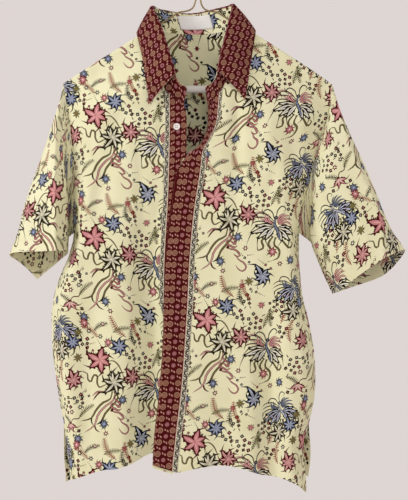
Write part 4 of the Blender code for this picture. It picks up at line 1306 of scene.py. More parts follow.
def motifs():
    """Every motif of the print by name."""
    library = {
        "great_pink": flower(GREAT_PETALS, "pink", "maroon", "rose", 1.9, 5, 0.86),
        "wine_flower": flower(MIDDLE_PETALS, "rose", "maroon", "wine", 2.0, 4, 0.66),
        "cream_flower": flower(CREAM_PETALS, "light", "olive_dark", "olive", 2.2, 4, 0.72),
        "blue_star": flower(STAR_PETALS, "blue", "navy", "sky", 1.6, 3, 0.82),
        "navy_long": flower(LONG_PETALS, "sky", "navy", "navy", 2.2, 3, 0.74),
        "rose_flower": flower(MIDDLE_PETALS, "rose", "maroon", "wine", 1.9, 4, 0.74),
        "small_blue": small_flower("blue", "navy", "sky"),
        "small_pink": small_flower("pink", "wine", "light"),
        "burst_olive": burst(11, 9.5, "moss", "olive"),
        "burst_wine": burst(10, 8.5, "wine", "pink"),
        "stem": outlined(((0, 0), (10, -1), (19, 6), (25, 16), (30, 24)), 2.6, "olive_dark",
                         "olive", 10, 0.7, 0.4),
        "plume": outlined(((0, 0), (12, -3), (24, 0), (36, 8)), 3.4, "maroon", "rose", 8, 0.5),
        "open_wine": open_star(5.4, "wine"),
        "open_black": open_star(5.2, "black"),
        "blossom": blossom("black", "blush", 3.8),
        "fern_rust": fern("rust", 40, 0.5, 12, 7.2),
        "fern_olive": fern("moss", 36, -0.3, 11, 6.6),
        "fern_black": fern("olive_dark", 32, 0.45, 10, 6.2),
        "ribbons": ribbons(),
        "vine": vine("olive_dark", "olive"),
        "scroll": scroll("maroon", "pink"),
        "butterfly": butterfly("black", "maroon", "rose", "blue", ("light", "blue")),
        "blue_butterfly": butterfly("black", "navy", "blue", "sky", ("sky", "wine")),
        "bell": bell("maroon", "pink", "light"),
        "sprig": sprig("black", "light"),
        "sprig_wine": sprig("wine", "rose"),
        "cluster": cluster(15.5, 9),
        "cluster_small": cluster(10.5, 5),
    }
    return {name: simple(shapes) for name, shapes in library.items()}


# One repeat of the print: motif, its place across and down, and where they aren't
# 0, 1 and False, its angle, its size and whether it is turned over.
REPEAT_WIDTH = 214.0
REPEAT_HEIGHT = 207.0
MOTIF_REACH = 60.0       # how far a motif may reach from its place
REPEAT = (
    ("vine", -27, 20), ("stem", 14, 2), ("ribbons", 27, 54, 0, 0.92), ("scroll", 30, 62, 0, 0.98),
    ("plume", 70, 26, 8, 0.9), ("plume", 70, 33, 20, 0.8), ("great_pink", 0, 0, 0, 1.1),
    ("cream_flower", 29, 38, 0, 1.08), ("wine_flower", 60, 29), ("blue_star", 33, -23, 0, 0.98),
    ("butterfly", 108, 48, 0, 0.98), ("fern_rust", 74, -34, -52, 0.9),
    ("fern_black", 62, -24, -40, 0.9), ("fern_olive", 98, 14, 12, 0.95, True),
    ("fern_rust", 128, 6, 10, 0.9), ("cluster_small", 56, -8), ("cluster", 81, 4, 20),
    ("cluster_small", 134, 20, 40), ("small_blue", 46, 67, 10, 1.05),
    ("small_blue", 19, 108, 0, 1.05), ("small_pink", -26, 144, 0, 1.1), ("open_wine", 60, 86),
    ("open_wine", 24, 124, 10), ("open_black", -26, 80), ("open_black", -20, 158),
    ("blossom", -24, 120), ("blossom", -33, 128, 30, 0.8), ("sprig", -24, 62, -40),
    ("sprig", 60, 102, 10), ("sprig_wine", 96, 114), ("navy_long", 92, 134, 6),
    ("burst_olive", 69, 142), ("burst_wine", 57, 150, 0, 0.8), ("fern_black", -12, 158, 40, 0.9),
    ("fern_rust", 44, 168, -58), ("fern_olive", 22, 160, 60, 0.85, True),
    ("sprig", 82, 160, 60, 1.0, True), ("cluster_small", 66, 172),
    ("small_pink", 106, 92, 0, 1.1), ("open_wine", 120, 112), ("small_blue", 138, 106, 20),
    ("fern_black", 150, 96, 100, 0.9), ("blue_butterfly", 146, 152, -20, 0.86),
    ("fern_olive", 108, 186, 190, 0.9), ("burst_wine", 92, 182, 0, 0.9),
    ("cluster", 118, 178, 70, 0.9), ("open_wine", 6, 146, 0, 0.9), ("bell", 172, 108, 0, 1.05),
    ("cluster", 160, 76, 50, 0.95), ("rose_flower", 172, 34, 20),
    ("cream_flower", 146, -16, 40, 0.9), ("blue_star", 166, -30, 30, 0.86),
    ("fern_rust", 150, 38, -30, 0.9), ("open_black", 158, 8), ("burst_olive", 176, -4),
    ("sprig_wine", 192, -22), ("cluster_small", 186, 66), ("fern_olive", 188, 98, 30, 0.9, True),
    ("open_wine", 174, 88), ("blossom", 156, 122, 20), ("small_blue", 190, 134, 0, 1.1),
    ("burst_olive", 176, 160, 0, 0.9), ("cluster_small", 188, 178, 20),
    ("fern_rust", 180, 150, 96, 0.8), ("open_black", 128, 200), ("blossom", 112, 204, 20),
    ("blossom", 148, 82, 20, 0.9), ("sprig", 4, 186, 20), ("open_black", 0, -40),
    ("small_pink", 14, -30, 0, 0.9),
)


def all_over(library, sheet, across, down):
    """The repeat over a whole sheet, with its first flower at a cloth place."""
    low = sheet.edge.min(axis=0) - MOTIF_REACH
    high = sheet.edge.max(axis=0) + MOTIF_REACH
    shapes = []
    for i in range(-4, 5):
        for j in range(-4, 6):
            for name, x, y, *turned in REPEAT:
                place = np.array((across + i * REPEAT_WIDTH + x, down + j * REPEAT_HEIGHT + y))
                if (place > low).all() and (place < high).all():
                    shapes += placed(library[name], *place, *turned)
    return shapes


# The border: a grey strip with a dark scroll along the seam, then maroon with rows
# of rosettes. It is printed across from the strip and along the border.
STRIP = 9.4
SCROLL_PITCH = 8.5
PITCH = 20.0
ROSETTE_COLUMNS = ((16.0, "tan"), (26.5, "lilac"), (37.0, "tan"), (46.6, "tan"))


def tan_rosette():
    return [("tan", disc(5.2, 8, notch=0.93, lean=0.78)), ("tan_dark", disc(3.5, 8, lean=0.39)),
            ("tan", disc(2.5, 6)), ("tan_dark", disc(1.2, 5))]


def lilac_rosette():
    return [("lilac", disc(3.9, 8, notch=0.86)), ("wine", disc(1.8, 6)), ("rose", disc(0.9, 5))]


def diamonds():
    """Two small leaning leaves between rosettes."""
    leaf = np.array(((-1.3, 2.3), (-1.3, -0.6), (1.3, -2.5), (1.3, 0.6)))
    return [("blush", leaf + (-2.2, 1.0)), ("blush", leaf * 0.9 + (2.0, -1.0))]


def box_outline(low, high):
    return np.array(((low[0], low[1]), (high[0], low[1]), (high[0], high[1]), (low[0], high[1])),
                    float)


def border_band(length, width):
    """Border on a placket: across from its seam, down from its top."""
    shapes = []
    for shade, left, right in (("grey", -2, STRIP), ("blush", STRIP, STRIP + 0.9)):
        shapes.append((shade, box_outline((left, -10), (right, length + 10))))
    for index in range(int(length / SCROLL_PITCH) + 2):
        y = index * SCROLL_PITCH
        hand = 1 if index % 2 else -1
        curl = ((-2.6, -4.4), (1.2, -3.6), (2.4, -0.8), (0.2, 1.4), (-2.4, 3.4), (-1.2, 4.6))
        points = np.array(curl) * (hand, 1) + (STRIP / 2, y)
        shapes.append(("black", stroke(points, 3.0, 8, 0.7)))
        for radius, aside, below in ((1.3, -2.7, -0.2), (1.2, 3.1, 2.8), (1.0, -3.1, 4.2)):
            shapes.append(("black", disc(radius, 4, STRIP / 2 + aside * hand, y + below)))
    return simple(shapes) + rosette_rows(length, ROSETTE_COLUMNS, width)


def rosette_rows(length, columns, width):
    shapes = []
    for x, kind in columns:
        if x > width + 4:
            continue
        for index in range(int(length / PITCH) + 2):
            y = index * PITCH
            if kind == "tan":
                shapes += placed(tan_rosette(), x, y)
                shapes += placed(diamonds(), x, y + PITCH / 2)
            else:
                shapes += placed(lilac_rosette(), x, y + PITCH / 2)
                shapes += placed(diamonds(), x, y)
    return shapes


# Cutting a print into the cloth and giving it thickness

def inside(outline, points):
    """Which points lie in a closed outline."""
    x, y = points[:, 0], points[:, 1]
    result = np.zeros(len(points), bool)
    for start, end in zip(outline, np.roll(outline, -1, axis=0)):
        if start[1] != end[1]:
            crosses = (start[1] > y) != (end[1] > y)
            reach = start[0] + (y - start[1]) * (end[0] - start[0]) / (end[1] - start[1])
            result ^= crosses & (x < reach)
    return result


def signed_area(outline):
    after = np.roll(outline, -1, axis=0)
    return (outline[:, 0] * after[:, 1] - outline[:, 1] * after[:, 0]).sum() / 2


def keep_clear(points, taken, distance):
    """The points that stand at least this far from those already taken."""
    cells = {}
    for point in taken:
        cells.setdefault((int(point[0] // distance), int(point[1] // distance)), []).append(point)
    kept = []
    for point in points:
        i, j = int(point[0] // distance), int(point[1] // distance)
        near = (other for a in (i - 1, i, i + 1) for b in (j - 1, j, j + 1)
                for other in cells.get((a, b), ()))
        if all((point[0] - other[0]) ** 2 + (point[1] - other[1]) ** 2 > distance ** 2
               for other in near):
            kept.append(point)
    return np.array(kept).reshape(-1, 2)


def numbered(outlines):
    """The numbers of each outline's places, where they follow one another, turning left."""
    faces = []
    first = 0
    for outline in outlines:
        face = list(range(first, first + len(outline)))
        faces.append(face if signed_area(outline) > 0 else face[::-1])
        first += len(outline)
    return faces


def colour_lines(edge, shapes):
    """Lines on which the colours of a print meet.

    shapes are (shade, outline) in the order in which they are printed. Returns
    places, lines as pairs of them with the shades on the left and right, and
    the places that lie on the edge.
    """
    low = edge.min(axis=0)
    high = edge.max(axis=0)
    outlines = [edge]
    shades = [0]
    for shade, outline in shapes:
        if (outline.max(axis=0) > low).all() and (outline.min(axis=0) < high).all():
            outlines.append(outline)
            shades.append(shade)
    points = [Vector(point) for point in np.concatenate(outlines)]
    places, _, triangles, _, _, covers = geometry.delaunay_2d_cdt(
        points, [], numbered(outlines), 0, CDT_TOLERANCE, True)
    owner = {}
    for (a, b, c), cover in zip(triangles, covers):
        if 0 in cover:
            owner[a, b] = owner[b, c] = owner[c, a] = shades[max(cover)]
    lines = {}
    border = set()
    for (a, b), left in owner.items():
        right = owner.get((b, a))
        if right is None:
            border.update((a, b))
        elif a < b and left != right:
            lines[a, b] = (left, right)
    return np.array([tuple(place) for place in places]), lines, border


def joined_lines(places, lines, border):
    """The lines end to end between the places where more than two meet or stop."""
    ends = {}
    for a, b in lines:
        ends.setdefault(a, []).append(b)
        ends.setdefault(b, []).append(a)
    joints = {place for place, others in ends.items() if len(others) != 2 or place in border}
    waiting = set(lines)
    chains = []
    for start in list(joints) + list(ends):
        for after in ends[start]:
            key = (min(start, after), max(start, after))
            if key not in waiting:
                continue
            shades = lines[key] if start < after else lines[key][::-1]
            chain = [start, after]
            while chain[-1] not in joints and chain[-1] != start:
                one, other = ends[chain[-1]]
                chain.append(other if one == chain[-2] else one)
            waiting -= {(min(pair), max(pair)) for pair in zip(chain, chain[1:])}
            chains.append((places[chain], shades))
    return chains


def thinned(path, tolerance):
    """The points of a path that keep its shape to a tolerance."""
    kept = {0, len(path) - 1}
    spans = [(0, len(path) - 1)]
    while spans:
        first, last = spans.pop()
        if last - first < 2:
            continue
        chord = path[last] - path[first]
        length = math.hypot(*chord)
        inner = path[first + 1:last] - path[first]
        if length > 1e-6:
            miss = abs(inner[:, 0] * chord[1] - inner[:, 1] * chord[0]) / length
        else:
            miss = np.hypot(inner[:, 0], inner[:, 1])
        middle = int(miss.argmax()) + first + 1
        if miss[middle - first - 1] > tolerance:
            kept.add(middle)
            spans += [(first, middle), (middle, last)]
    closed = math.dist(path[0], path[-1]) < 1e-6
    return path[sorted(kept)] if not closed or len(kept) > 3 else path[:0]


def divided(path):
    """A path with points between those that stand too far apart to follow the cloth."""
    counts = np.ceil(np.hypot(*np.diff(path, axis=0).T) / LONGEST_CHORD).astype(int)
    pieces = [np.linspace(start, end, count, endpoint=False)
              for start, end, count in zip(path[:-1], path[1:], counts)]
    return np.concatenate([*pieces, path[-1:]])


def larger(chains, least):
    """The lines but not those round spots of less than an area."""
    return [(path, pair) for path, pair in chains
            if math.dist(path[0], path[-1]) > 1e-6 or abs(signed_area(path)) > least]


def ring_through(edge, points, ends):
    """The outline's numbers in order, with those of line ends that lie on it."""
    after = np.roll(edge, -1, axis=0)
    along = after - edge
    size = (along ** 2).sum(axis=1)
    ring = [[] for _ in edge]
    for number in ends:
        offset = points[number] - edge
        share = np.clip((offset * along).sum(axis=1) / size, 0, 1)
        miss = np.hypot(*(offset - along * share[:, None]).T)
        side = int(miss.argmin())
        length = math.sqrt(size[side])
        if miss[side] < ON_EDGE and ON_EDGE < share[side] * length < length - ON_EDGE:
            if all(abs(share[side] - other) * length > ON_EDGE for other, _ in ring[side]):
                ring[side].append((share[side], number))
    return [number for side, extra in enumerate(ring)
            for number in (side, *(number for _, number in sorted(extra)))]


def cut_layer(edge, chains, tolerance, free):
    """Triangles inside an outline, with the colour lines as edges among them.

    Returns places, triangles, their shades, and each place's number on the
    outline or -1.
    """
    points = [edge]
    edges = []
    shades = []
    ends = []
    count = len(edge)
    for path, pair in chains:
        if math.dist(path[0], path[-1]) > 1e-6:
            ends.append(count)
        path = divided(thinned(path, tolerance))
        if ends and ends[-1] == count:
            ends.append(count + len(path) - 1)
        points.append(path)
        edges += [(count + i, count + i + 1) for i in range(len(path) - 1)]
        shades += [pair] * (len(path) - 1)
        count += len(path)
    points = np.concatenate(points)
    ring = ring_through(edge, points, ends)
    free = keep_clear(free, points, CLEAR)
    every = np.concatenate([points, free])
    places, new_edges, triangles, origins, edge_origins, covers = geometry.delaunay_2d_cdt(
        [Vector(point) for point in every], edges, [ring], 0, CDT_TOLERANCE, True)
    left = {}
    for (a, b), ids in zip(new_edges, edge_origins):
        known = [number for number in ids if number < len(edges)]
        if known:
            start, end = edges[known[0]]
            same = (places[b] - places[a]) @ Vector(every[end] - every[start]) > 0
            pair = shades[known[0]] if same else shades[known[0]][::-1]
            left[a, b], left[b, a] = pair
    triangles = [triangle for triangle, cover in zip(triangles, covers) if cover]
    owner = {}
    for number, (a, b, c) in enumerate(triangles):
        owner[a, b] = owner[b, c] = owner[c, a] = number
    shade = [None] * len(triangles)
    for seed in range(len(triangles)):
        if shade[seed] is not None:
            continue
        region = [seed]
        shade[seed] = 0
        votes = {}
        for number in region:
            a, b, c = triangles[number]
            for start, end in ((a, b), (b, c), (c, a)):
                if (start, end) in left:
                    one = left[start, end]
                    votes[one] = votes.get(one, 0) + (places[end] - places[start]).length
                    continue
                other = owner.get((end, start))
                if other is not None and shade[other] is None:
                    shade[other] = 0
                    region.append(other)
        colour = max(votes, key=votes.get, default=0)
        for number in region:
            shade[number] = colour
    shade = np.array(shade)
    numbers, triangles = np.unique(np.array(triangles), return_inverse=True)
    on_edge = [min(origins[number], default=len(edge)) for number in numbers]
    on_edge = np.array([number if number < len(edge) else -1 for number in on_edge])
    places = np.array([tuple(places[number]) for number in numbers])
    return places, triangles.reshape(-1, 3), shade, on_edge


def place_key(point):
    return tuple(np.round(point, 1) + 0.0)


def join_seams(sheets):
    """Gives places that sheets share one normal, so that their edges meet, and
    sinks their seam a little into the cloth."""
    meeting = {}
    for sheet in sheets:
        for point, normal in zip(sheet.edge_points, sheet.edge_normals):
            meeting.setdefault(place_key(point), []).append(normal)
    for sheet in sheets:
        for index, point in enumerate(sheet.edge_points):
            units = np.array(meeting[place_key(point)])
            mean = units.mean(axis=0)
            mean = mean / np.linalg.norm(mean)
            mitre = 1 / max(float((units @ mean).mean()), 0.6)
            sheet.edge_normals[index] = mean * mitre
            if len(units) > 1:
                sheet.edge_points[index] = point - mean * SEAM_SINK


def border_loop(layer, edge):
    """Places round a layer in order, and how many steps along the edge each is."""
    places, triangles, _, on_edge = layer
    pairs = np.concatenate([triangles[:, [0, 1]], triangles[:, [1, 2]], triangles[:, [2, 0]]])
    known = {tuple(pair) for pair in pairs.tolist()}
    after = {a: b for a, b in known if (b, a) not in known}
    start = int(np.flatnonzero(on_edge == 0)[0])
    loop = [start]
    while after[loop[-1]] != start:
        loop.append(after[loop[-1]])
    steps = []
    passed = 0
    for number in loop:
        passed = int(max(on_edge[number], passed))
        start, end = edge[passed], edge[(passed + 1) % len(edge)]
        steps.append(passed + min(math.dist(places[number], start) / math.dist(start, end), 1))
    return np.array(loop), np.array(steps)


def rim_between(outer, inner):
    """Triangles of the rim between the loops of two layers."""
    one, one_steps = outer
    two, two_steps = inner
    one_steps = np.append(one_steps, math.inf)
    two_steps = np.append(two_steps, math.inf)
    faces = []
    i = j = 0
    while i < len(one) or j < len(two):
        if j == len(two) or (i < len(one) and one_steps[i + 1] <= two_steps[j + 1]):
            faces.append((one[(i + 1) % len(one)], one[i], two[j % len(two)]))
            i += 1
        else:
            faces.append((two[j], two[(j + 1) % len(two)], one[i % len(one)]))
            j += 1
    return np.array(faces)


def inward(edge):
    """Directions into an outline that runs anticlockwise, at each of its places."""
    return beside(np.roll(edge, -1, axis=0) - np.roll(edge, 1, axis=0))


def free_places(sheet, edge):
    """Places for vertices where the print has none."""
    low = edge.min(axis=0)
    high = edge.max(axis=0)
    grid = np.stack(np.meshgrid(np.arange(low[0], high[0], SPACING),
                                np.arange(low[1], high[1], SPACING)), axis=-1)
    grid[1::2, :, 0] += SPACING / 2
    places = np.concatenate([edge + inward(edge) * EDGE_ROW, sheet.detail, grid.reshape(-1, 2)])
    return places[inside(edge, places)]


def raise_layer(sheet, layer, loop, turn):
    """Places in space and normals of the cloth places of a layer."""
    rows, columns = sheet.find(layer[0])
    points = sheet.at(rows, columns)
    normals = sheet.normals(rows, columns)
    around, steps = loop
    number = steps.astype(int) % len(sheet.edge)
    after = (number + 1) % len(sheet.edge)
    share = (steps % 1)[:, None]
    for values, known in ((points, sheet.edge_points[::turn]),
                          (normals, sheet.edge_normals[::turn])):
        values[around] = known[number] * (1 - share) + known[after] * share
    return points, normals


def piece_of(name, vertices, faces, look, replaced=(), smooth=True):
    """A mesh piece from places in millimetres."""
    mesh = bpy.data.meshes.new(name)
    mesh.from_pydata((np.asarray(vertices) * MM).tolist(), [], faces)
    mesh.materials.append(look)
    if smooth:
        mesh.shade_smooth()
    made = bpy.data.objects.new(name, mesh)
    bpy.context.scene.collection.objects.link(made)
    if replaced:
        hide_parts(*replaced)
    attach(made, "root")
    return made


def make_cloth(sheet, outer_print, inner_print, look, slot):
    """Makes a sheet as a closed thin shell with its print cut into both sides."""
    turn = 1 if signed_area(sheet.edge) > 0 else -1
    edge = sheet.edge[::turn]
    chains = [joined_lines(*colour_lines(edge, shapes))
              for shapes in (outer_print, inner_print) if shapes is not None]
    free = free_places(sheet, edge)
    coarser = COARSER.get(sheet.name, 1)
    inner_lines = larger(chains[-1], INNER_LEAST * coarser ** 2)
    layers = [cut_layer(edge, chains[0], OUTER_TOLERANCE * coarser, free),
              cut_layer(edge, inner_lines, INNER_TOLERANCE * coarser, free)]
    vertices = []
    faces = []
    loops = []
    count = 0
    for layer, side in zip(layers, (1, -1)):
        loop = border_loop(layer, edge)
        points, normals = raise_layer(sheet, layer, loop, turn)
        triangles = layer[1]
        if side == 1:
            corners = points[triangles]
            facing = np.cross(corners[:, 1] - corners[:, 0], corners[:, 2] - corners[:, 0])
            flip = (facing * normals[triangles[:, 0]]).sum() < 0
        vertices.append(points + normals * side * sheet.thickness / 2)
        faces.append((triangles if flip == (side == -1) else triangles[:, ::-1]) + count)
        loops.append((loop[0] + count, loop[1]))
        count += len(points)
    rim = rim_between(*loops)
    faces.append(rim[:, ::-1] if flip else rim)
    shades = np.concatenate([layers[0][2], layers[1][2], np.zeros(len(rim), int)])
    places = np.concatenate([layers[0][0], layers[1][0]])
    triangles = np.concatenate(faces)
    piece = piece_of("cloth_" + sheet.name, np.concatenate(vertices), triangles.tolist(), look,
                     (sheet.name,))
    mesh = piece.data
    attribute = mesh.color_attributes.new("print", "FLOAT_COLOR", "CORNER")
    attribute.data.foreach_set("color", SHADE_COLOURS[np.repeat(shades, 3)].ravel())
    sharp = {tuple(sorted(pair)) for ring, _ in loops
             for pair in zip(ring.tolist(), np.roll(ring, -1).tolist())}
    marks = mesh.attributes.new("sharp_edge", "BOOLEAN", "EDGE")
    marks.data.foreach_set("value", [tuple(sorted(one.vertices)) in sharp for one in mesh.edges])
    flat = places[triangles.ravel()]
    mesh.uv_layers.new(name="cloth").uv.foreach_set("vector", (flat * MM).ravel())
    # The bake's picture has the outer side in its left half and the inner in its right.
    half = (flat - edge.min(axis=0)) / (edge.max(axis=0) - edge.min(axis=0)) * (0.49, 0.99)
    half[:, 0] += np.repeat((triangles[:, 0] >= len(layers[0][0])) * 0.505, 3)
    mesh.uv_layers.new(name="OFBake").uv.foreach_set("vector", (half + 0.002).ravel())
    return piece


# Materials

def linear(colour):
    parts = np.array(colour) / 255
    return np.where(parts < 0.04045, parts / 12.92, ((parts + 0.055) / 1.055) ** 2.4)


SHADE_COLOURS = np.array([(*linear(PALETTE[name]), 1) for name in SHADES])


def material(name, roughness, metallic=0.0):
    """A new material with its shader, node maker and links."""
    made = bpy.data.materials.new(name)
    made.use_nodes = True
    tree = made.node_tree
    shader = tree.nodes["Principled BSDF"]
    shader.inputs["Roughness"].default_value = roughness
    shader.inputs["Metallic"].default_value = metallic
    return made, shader, tree.nodes.new, tree.links.new


def noise(new, link, place, scale, detail=3.0):
    made = new("ShaderNodeTexNoise")
    made.inputs["Scale"].default_value = scale
    made.inputs["Detail"].default_value = detail
    link(place, made.inputs["Vector"])
    return made.outputs["Fac"]


def tinted(new, link, colour, amount, low, high):
    """A colour multiplied by tints between low and high as amount goes from 0.3 to 0.7."""
    ramp = new("ShaderNodeValToRGB")
    ramp.color_ramp.elements[0].position = 0.3
    ramp.color_ramp.elements[0].color = low
    ramp.color_ramp.elements[1].position = 0.7
    ramp.color_ramp.elements[1].color = high
    link(amount, ramp.inputs["Fac"])
    mix = new("ShaderNodeMix")
    mix.data_type = "RGBA"
    mix.blend_type = "MULTIPLY"
    mix.inputs["Factor"].default_value = 1.0
    if isinstance(colour, tuple):
        mix.inputs["A"].default_value = colour
    else:
        link(colour, mix.inputs[6])
    link(ramp.outputs["Color"], mix.inputs[7])
    return mix.outputs[2]


def add_bump(new, link, shader, height, strength, distance):
    bump = new("ShaderNodeBump")
    bump.inputs["Strength"].default_value = strength
    bump.inputs["Distance"].default_value = distance
    link(height, bump.inputs["Height"])
    link(bump.outputs["Normal"], shader.inputs["Normal"])


def weave_bump(new, link, shader, place, pitch, strength, distance):
    """Fine plain weave: two crossing sets of threads."""
    heights = []
    for direction in ("X", "Y"):
        wave = new("ShaderNodeTexWave")
        wave.bands_direction = direction
        wave.inputs["Scale"].default_value = 0.314 / pitch
        wave.inputs["Distortion"].default_value = 0.6
        wave.inputs["Detail Scale"].default_value = 1.5
        link(place, wave.inputs["Vector"])
        heights.append(wave.outputs["Fac"])
    both = new("ShaderNodeMath")
    both.operation = "MAXIMUM"
    link(heights[0], both.inputs[0])
    link(heights[1], both.inputs[1])
    add_bump(new, link, shader, both.outputs[0], strength, distance)


def batik():
    """Printed cotton: the print's colours, uneven dye and a plain weave."""
    made, shader, new, link = material("batik_cotton", 0.82)
    shader.inputs["Sheen Weight"].default_value = 0.02
    shader.inputs["Sheen Roughness"].default_value = 0.5
    shader.inputs["Specular IOR Level"].default_value = 0.08
    cloth = new("ShaderNodeUVMap")
    cloth.uv_map = "cloth"
    colour = new("ShaderNodeAttribute")
    colour.attribute_name = "print"
    dye = noise(new, link, cloth.outputs["UV"], 26, 4.0)
    thread = noise(new, link, cloth.outputs["UV"], 900, 1.0)
    dyed = tinted(new, link, colour.outputs["Color"], dye, (0.93, 0.92, 0.86, 1), (1, 1, 1, 1))
    dyed = tinted(new, link, dyed, thread, (0.93, 0.93, 0.93, 1), (1, 1, 1, 1))
    link(dyed, shader.inputs["Base Color"])
    weave_bump(new, link, shader, cloth.outputs["UV"], 0.0007, 0.25, 0.0001)
    return made


def mottled(name, colour, roughness, metallic=0.0, scale=300.0, depth=0.0001, low=0.86):
    """A colour with slight uneven tints and a fine uneven surface."""
    made, shader, new, link = material(name, roughness, metallic)
    place = new("ShaderNodeTexCoord").outputs["Object"]
    amount = noise(new, link, place, scale)
    link(tinted(new, link, colour, amount, (low, low, low * 0.98, 1), (1, 1, 1, 1)),
         shader.inputs["Base Color"])
    add_bump(new, link, shader, amount, 0.4, depth)
    return made


# Where the print's first flower falls on each piece, across and down.
PRINT_PLACE = {
    "front_left": (24, 438),
    "front_right": (-118, 506),
    "back": (-60, 300),
    "sleeve_right": (0, -100),
    "sleeve_left": (0, -60),
}


def band(sheet):
    """Border print of a placket, from its seam."""
    low, high = sheet.edge.min(axis=0), sheet.edge.max(axis=0)
    shapes = border_band(high[1] - low[1], high[0] - low[0])
    left = sheet.name == "placket_left"
    return ([("border", box_outline(low - 5, high + 5))]
            + placed(shapes, high[0] if left else 0, low[1], flip=left))


def lattice_print(sheet):
    """Rows of rosettes along the collar, whose columns run to its free edge."""
    low, high = sheet.edge.min(axis=0), sheet.edge.max(axis=0)
    across = high[0] - low[0]
    columns = [(index * PITCH / 2, "lilac" if index % 2 else "tan")
               for index in range(int(across / PITCH * 2) + 2)]
    shapes = rosette_rows(high[1] - low[1] + 20, columns, across + 20)
    return [("border", box_outline(low - 5, high + 5))] + placed(shapes, low[0], low[1] - 6)


def slot_of(name):
    return "batik_border_cotton" if name.startswith(("collar", "placket")) else "batik_cotton"


def in_numbers(shapes):
    return [(SHADES.index(shade), outline) for shade, outline in shapes]


# Stitches

def inset_runs(edge, distance, start):
    """Lines a distance inside an outline, below the height at which they start."""
    if signed_area(edge) < 0:
        edge = edge[::-1]
    closed = np.vstack([edge, edge[:1]])
    run = run_length(closed)
    fine_edge = at_runs(np.arange(0, run[-1], 1.5), run, closed)
    places = fine_edge + inward(fine_edge) * distance
    nearest = np.array([np.hypot(*(fine_edge - place).T).min() for place in places])
    good = (nearest > distance * 0.97) & inside(edge, places) & (places[:, 1] > start)
    runs = []
    for index in range(len(places)):
        if good[index]:
            if index and good[index - 1]:
                runs[-1].append(places[index])
            else:
                runs.append([places[index]])
    return [np.array(line) for line in runs if len(line) > 6]


def stitches(sheet, runs, look):
    """Rows of stitches along cloth lines, as small lozenges on the cloth."""
    starts, ends = [], []
    for line in runs:
        run = run_length(line)
        first = np.arange(0.5, run[-1] - STITCH_LENGTH - 0.3, STITCH_PITCH)
        starts.append(at_runs(first, run, line))
        ends.append(at_runs(first + STITCH_LENGTH, run, line))
    starts, ends = np.concatenate(starts), np.concatenate(ends)
    vertices, faces = [], []
    for side in (1, -1):
        lift = side * (sheet.thickness / 2 + STITCH_LIFT)
        placed_ends = []
        for places in (starts, ends):
            rows, columns = sheet.find(places)
            normals = sheet.normals(rows, columns)
            placed_ends.append(sheet.at(rows, columns) + normals * lift)
        one, other = placed_ends
        middle = (one + other) / 2
        across = np.cross(unit(other - one), normals)
        ring = [middle + across * STITCH_HALF, middle + normals * side * 0.2,
                middle - across * STITCH_HALF, middle - normals * side * 0.16]
        sunk = normals * side * 0.12
        every = np.stack([one - sunk, *ring, other - sunk], axis=1)
        base = len(vertices) * 6
        vertices.extend(every)
        for index in range(len(every)):
            number = base + index * 6
            for k in range(4):
                a, b = number + 1 + k, number + 1 + (k + 1) % 4
                pair = ((number, b, a), (number + 5, a, b))
                faces.extend(pair if side > 0 else (face[::-1] for face in pair))
    return piece_of("stitches_" + sheet.name, np.concatenate(vertices), faces, look)


# Rows of stitches: distance from the piece's edge, and the height from which they run.
STITCH_LENGTH = 2.3
STITCH_PITCH = 3.2
STITCH_HALF = 0.24       # half width of a stitch
STITCH_LIFT = 0.06       # from the cloth to the middle of a stitch
STITCHED = {
    "front_right": (17, 844),
    "front_left": (17, 844),
    "back": (17, 844),
    "sleeve_right": (20, -30),
    "sleeve_left": (20, -30),
    "placket_right": (2.4, -math.inf),
    "placket_left": (2.4, -math.inf),
    "collar_stand": (2.4, -math.inf),
    "collar_leaf": (5.5, 9),
}


def sew(pieces):
    cream = mottled("cream_thread", (0.72, 0.67, 0.47, 1), 0.6)
    rust = mottled("rust_thread", (0.36, 0.17, 0.12, 1), 0.6)
    for name, (distance, start) in STITCHED.items():
        runs = inset_runs(pieces[name].edge, distance, start)
        slot = slot_of(name)
        stitches(pieces[name], runs, cream if slot == "batik_cotton" else rust)


# Buttons and label

def closed_shell(front, count):
    """Faces of a closed shell, from those of its front side and the places on each side."""
    known = {(a, b) for face in front for a, b in zip(face, (*face[1:], face[0]))}
    return ([tuple(face) for face in front]
            + [tuple(k + count for k in face[::-1]) for face in front]
            + [(b, a, a + count, b + count) for a, b in known if (b, a) not in known])


def button_mesh():
    """Four-hole button with a raised rim, its face towards -Y."""
    half = BUTTON_THICK / 2
    radius = BUTTON_RADIUS
    profile = ((radius, half - 0.55), (radius * 0.95, half - 0.1), (radius * 0.82, half),
               (radius * 0.7, half - 0.3), (radius * 0.56, half - HOLLOW))
    asides = (-HOLE_ASIDE, HOLE_ASIDE)
    holes = [disc(HOLE_RADIUS, 8, x, y) for x in asides for y in asides]
    loops = [disc(reach, 28) for reach, _ in profile] + holes
    heights = [height for _, height in profile] + [half - HOLLOW] * 4
    points = np.concatenate(loops)
    _, _, triangles, origins, _, covers = geometry.delaunay_2d_cdt(
        [Vector(point) for point in points], [], numbered(loops), 0, CDT_TOLERANCE / 10, True)
    numbers = [min(origin) for origin in origins]
    front = [[numbers[k] for k in triangle] for triangle, cover in zip(triangles, covers)
             if cover and max(cover) < len(profile)]
    rise = np.concatenate([np.full(len(loop), height) for loop, height in zip(loops, heights)])
    count = len(points)
    shrink = np.where(np.hypot(*points.T) > radius * 0.9, 0.86, 1.0)[:, None]
    vertices = np.vstack([np.column_stack([points[:, 0], -rise, points[:, 1]]),
                          np.column_stack([points[:, 0] * shrink[:, 0], np.full(count, half),
                                           points[:, 1] * shrink[:, 0]])])
    return vertices, closed_shell(front, count)


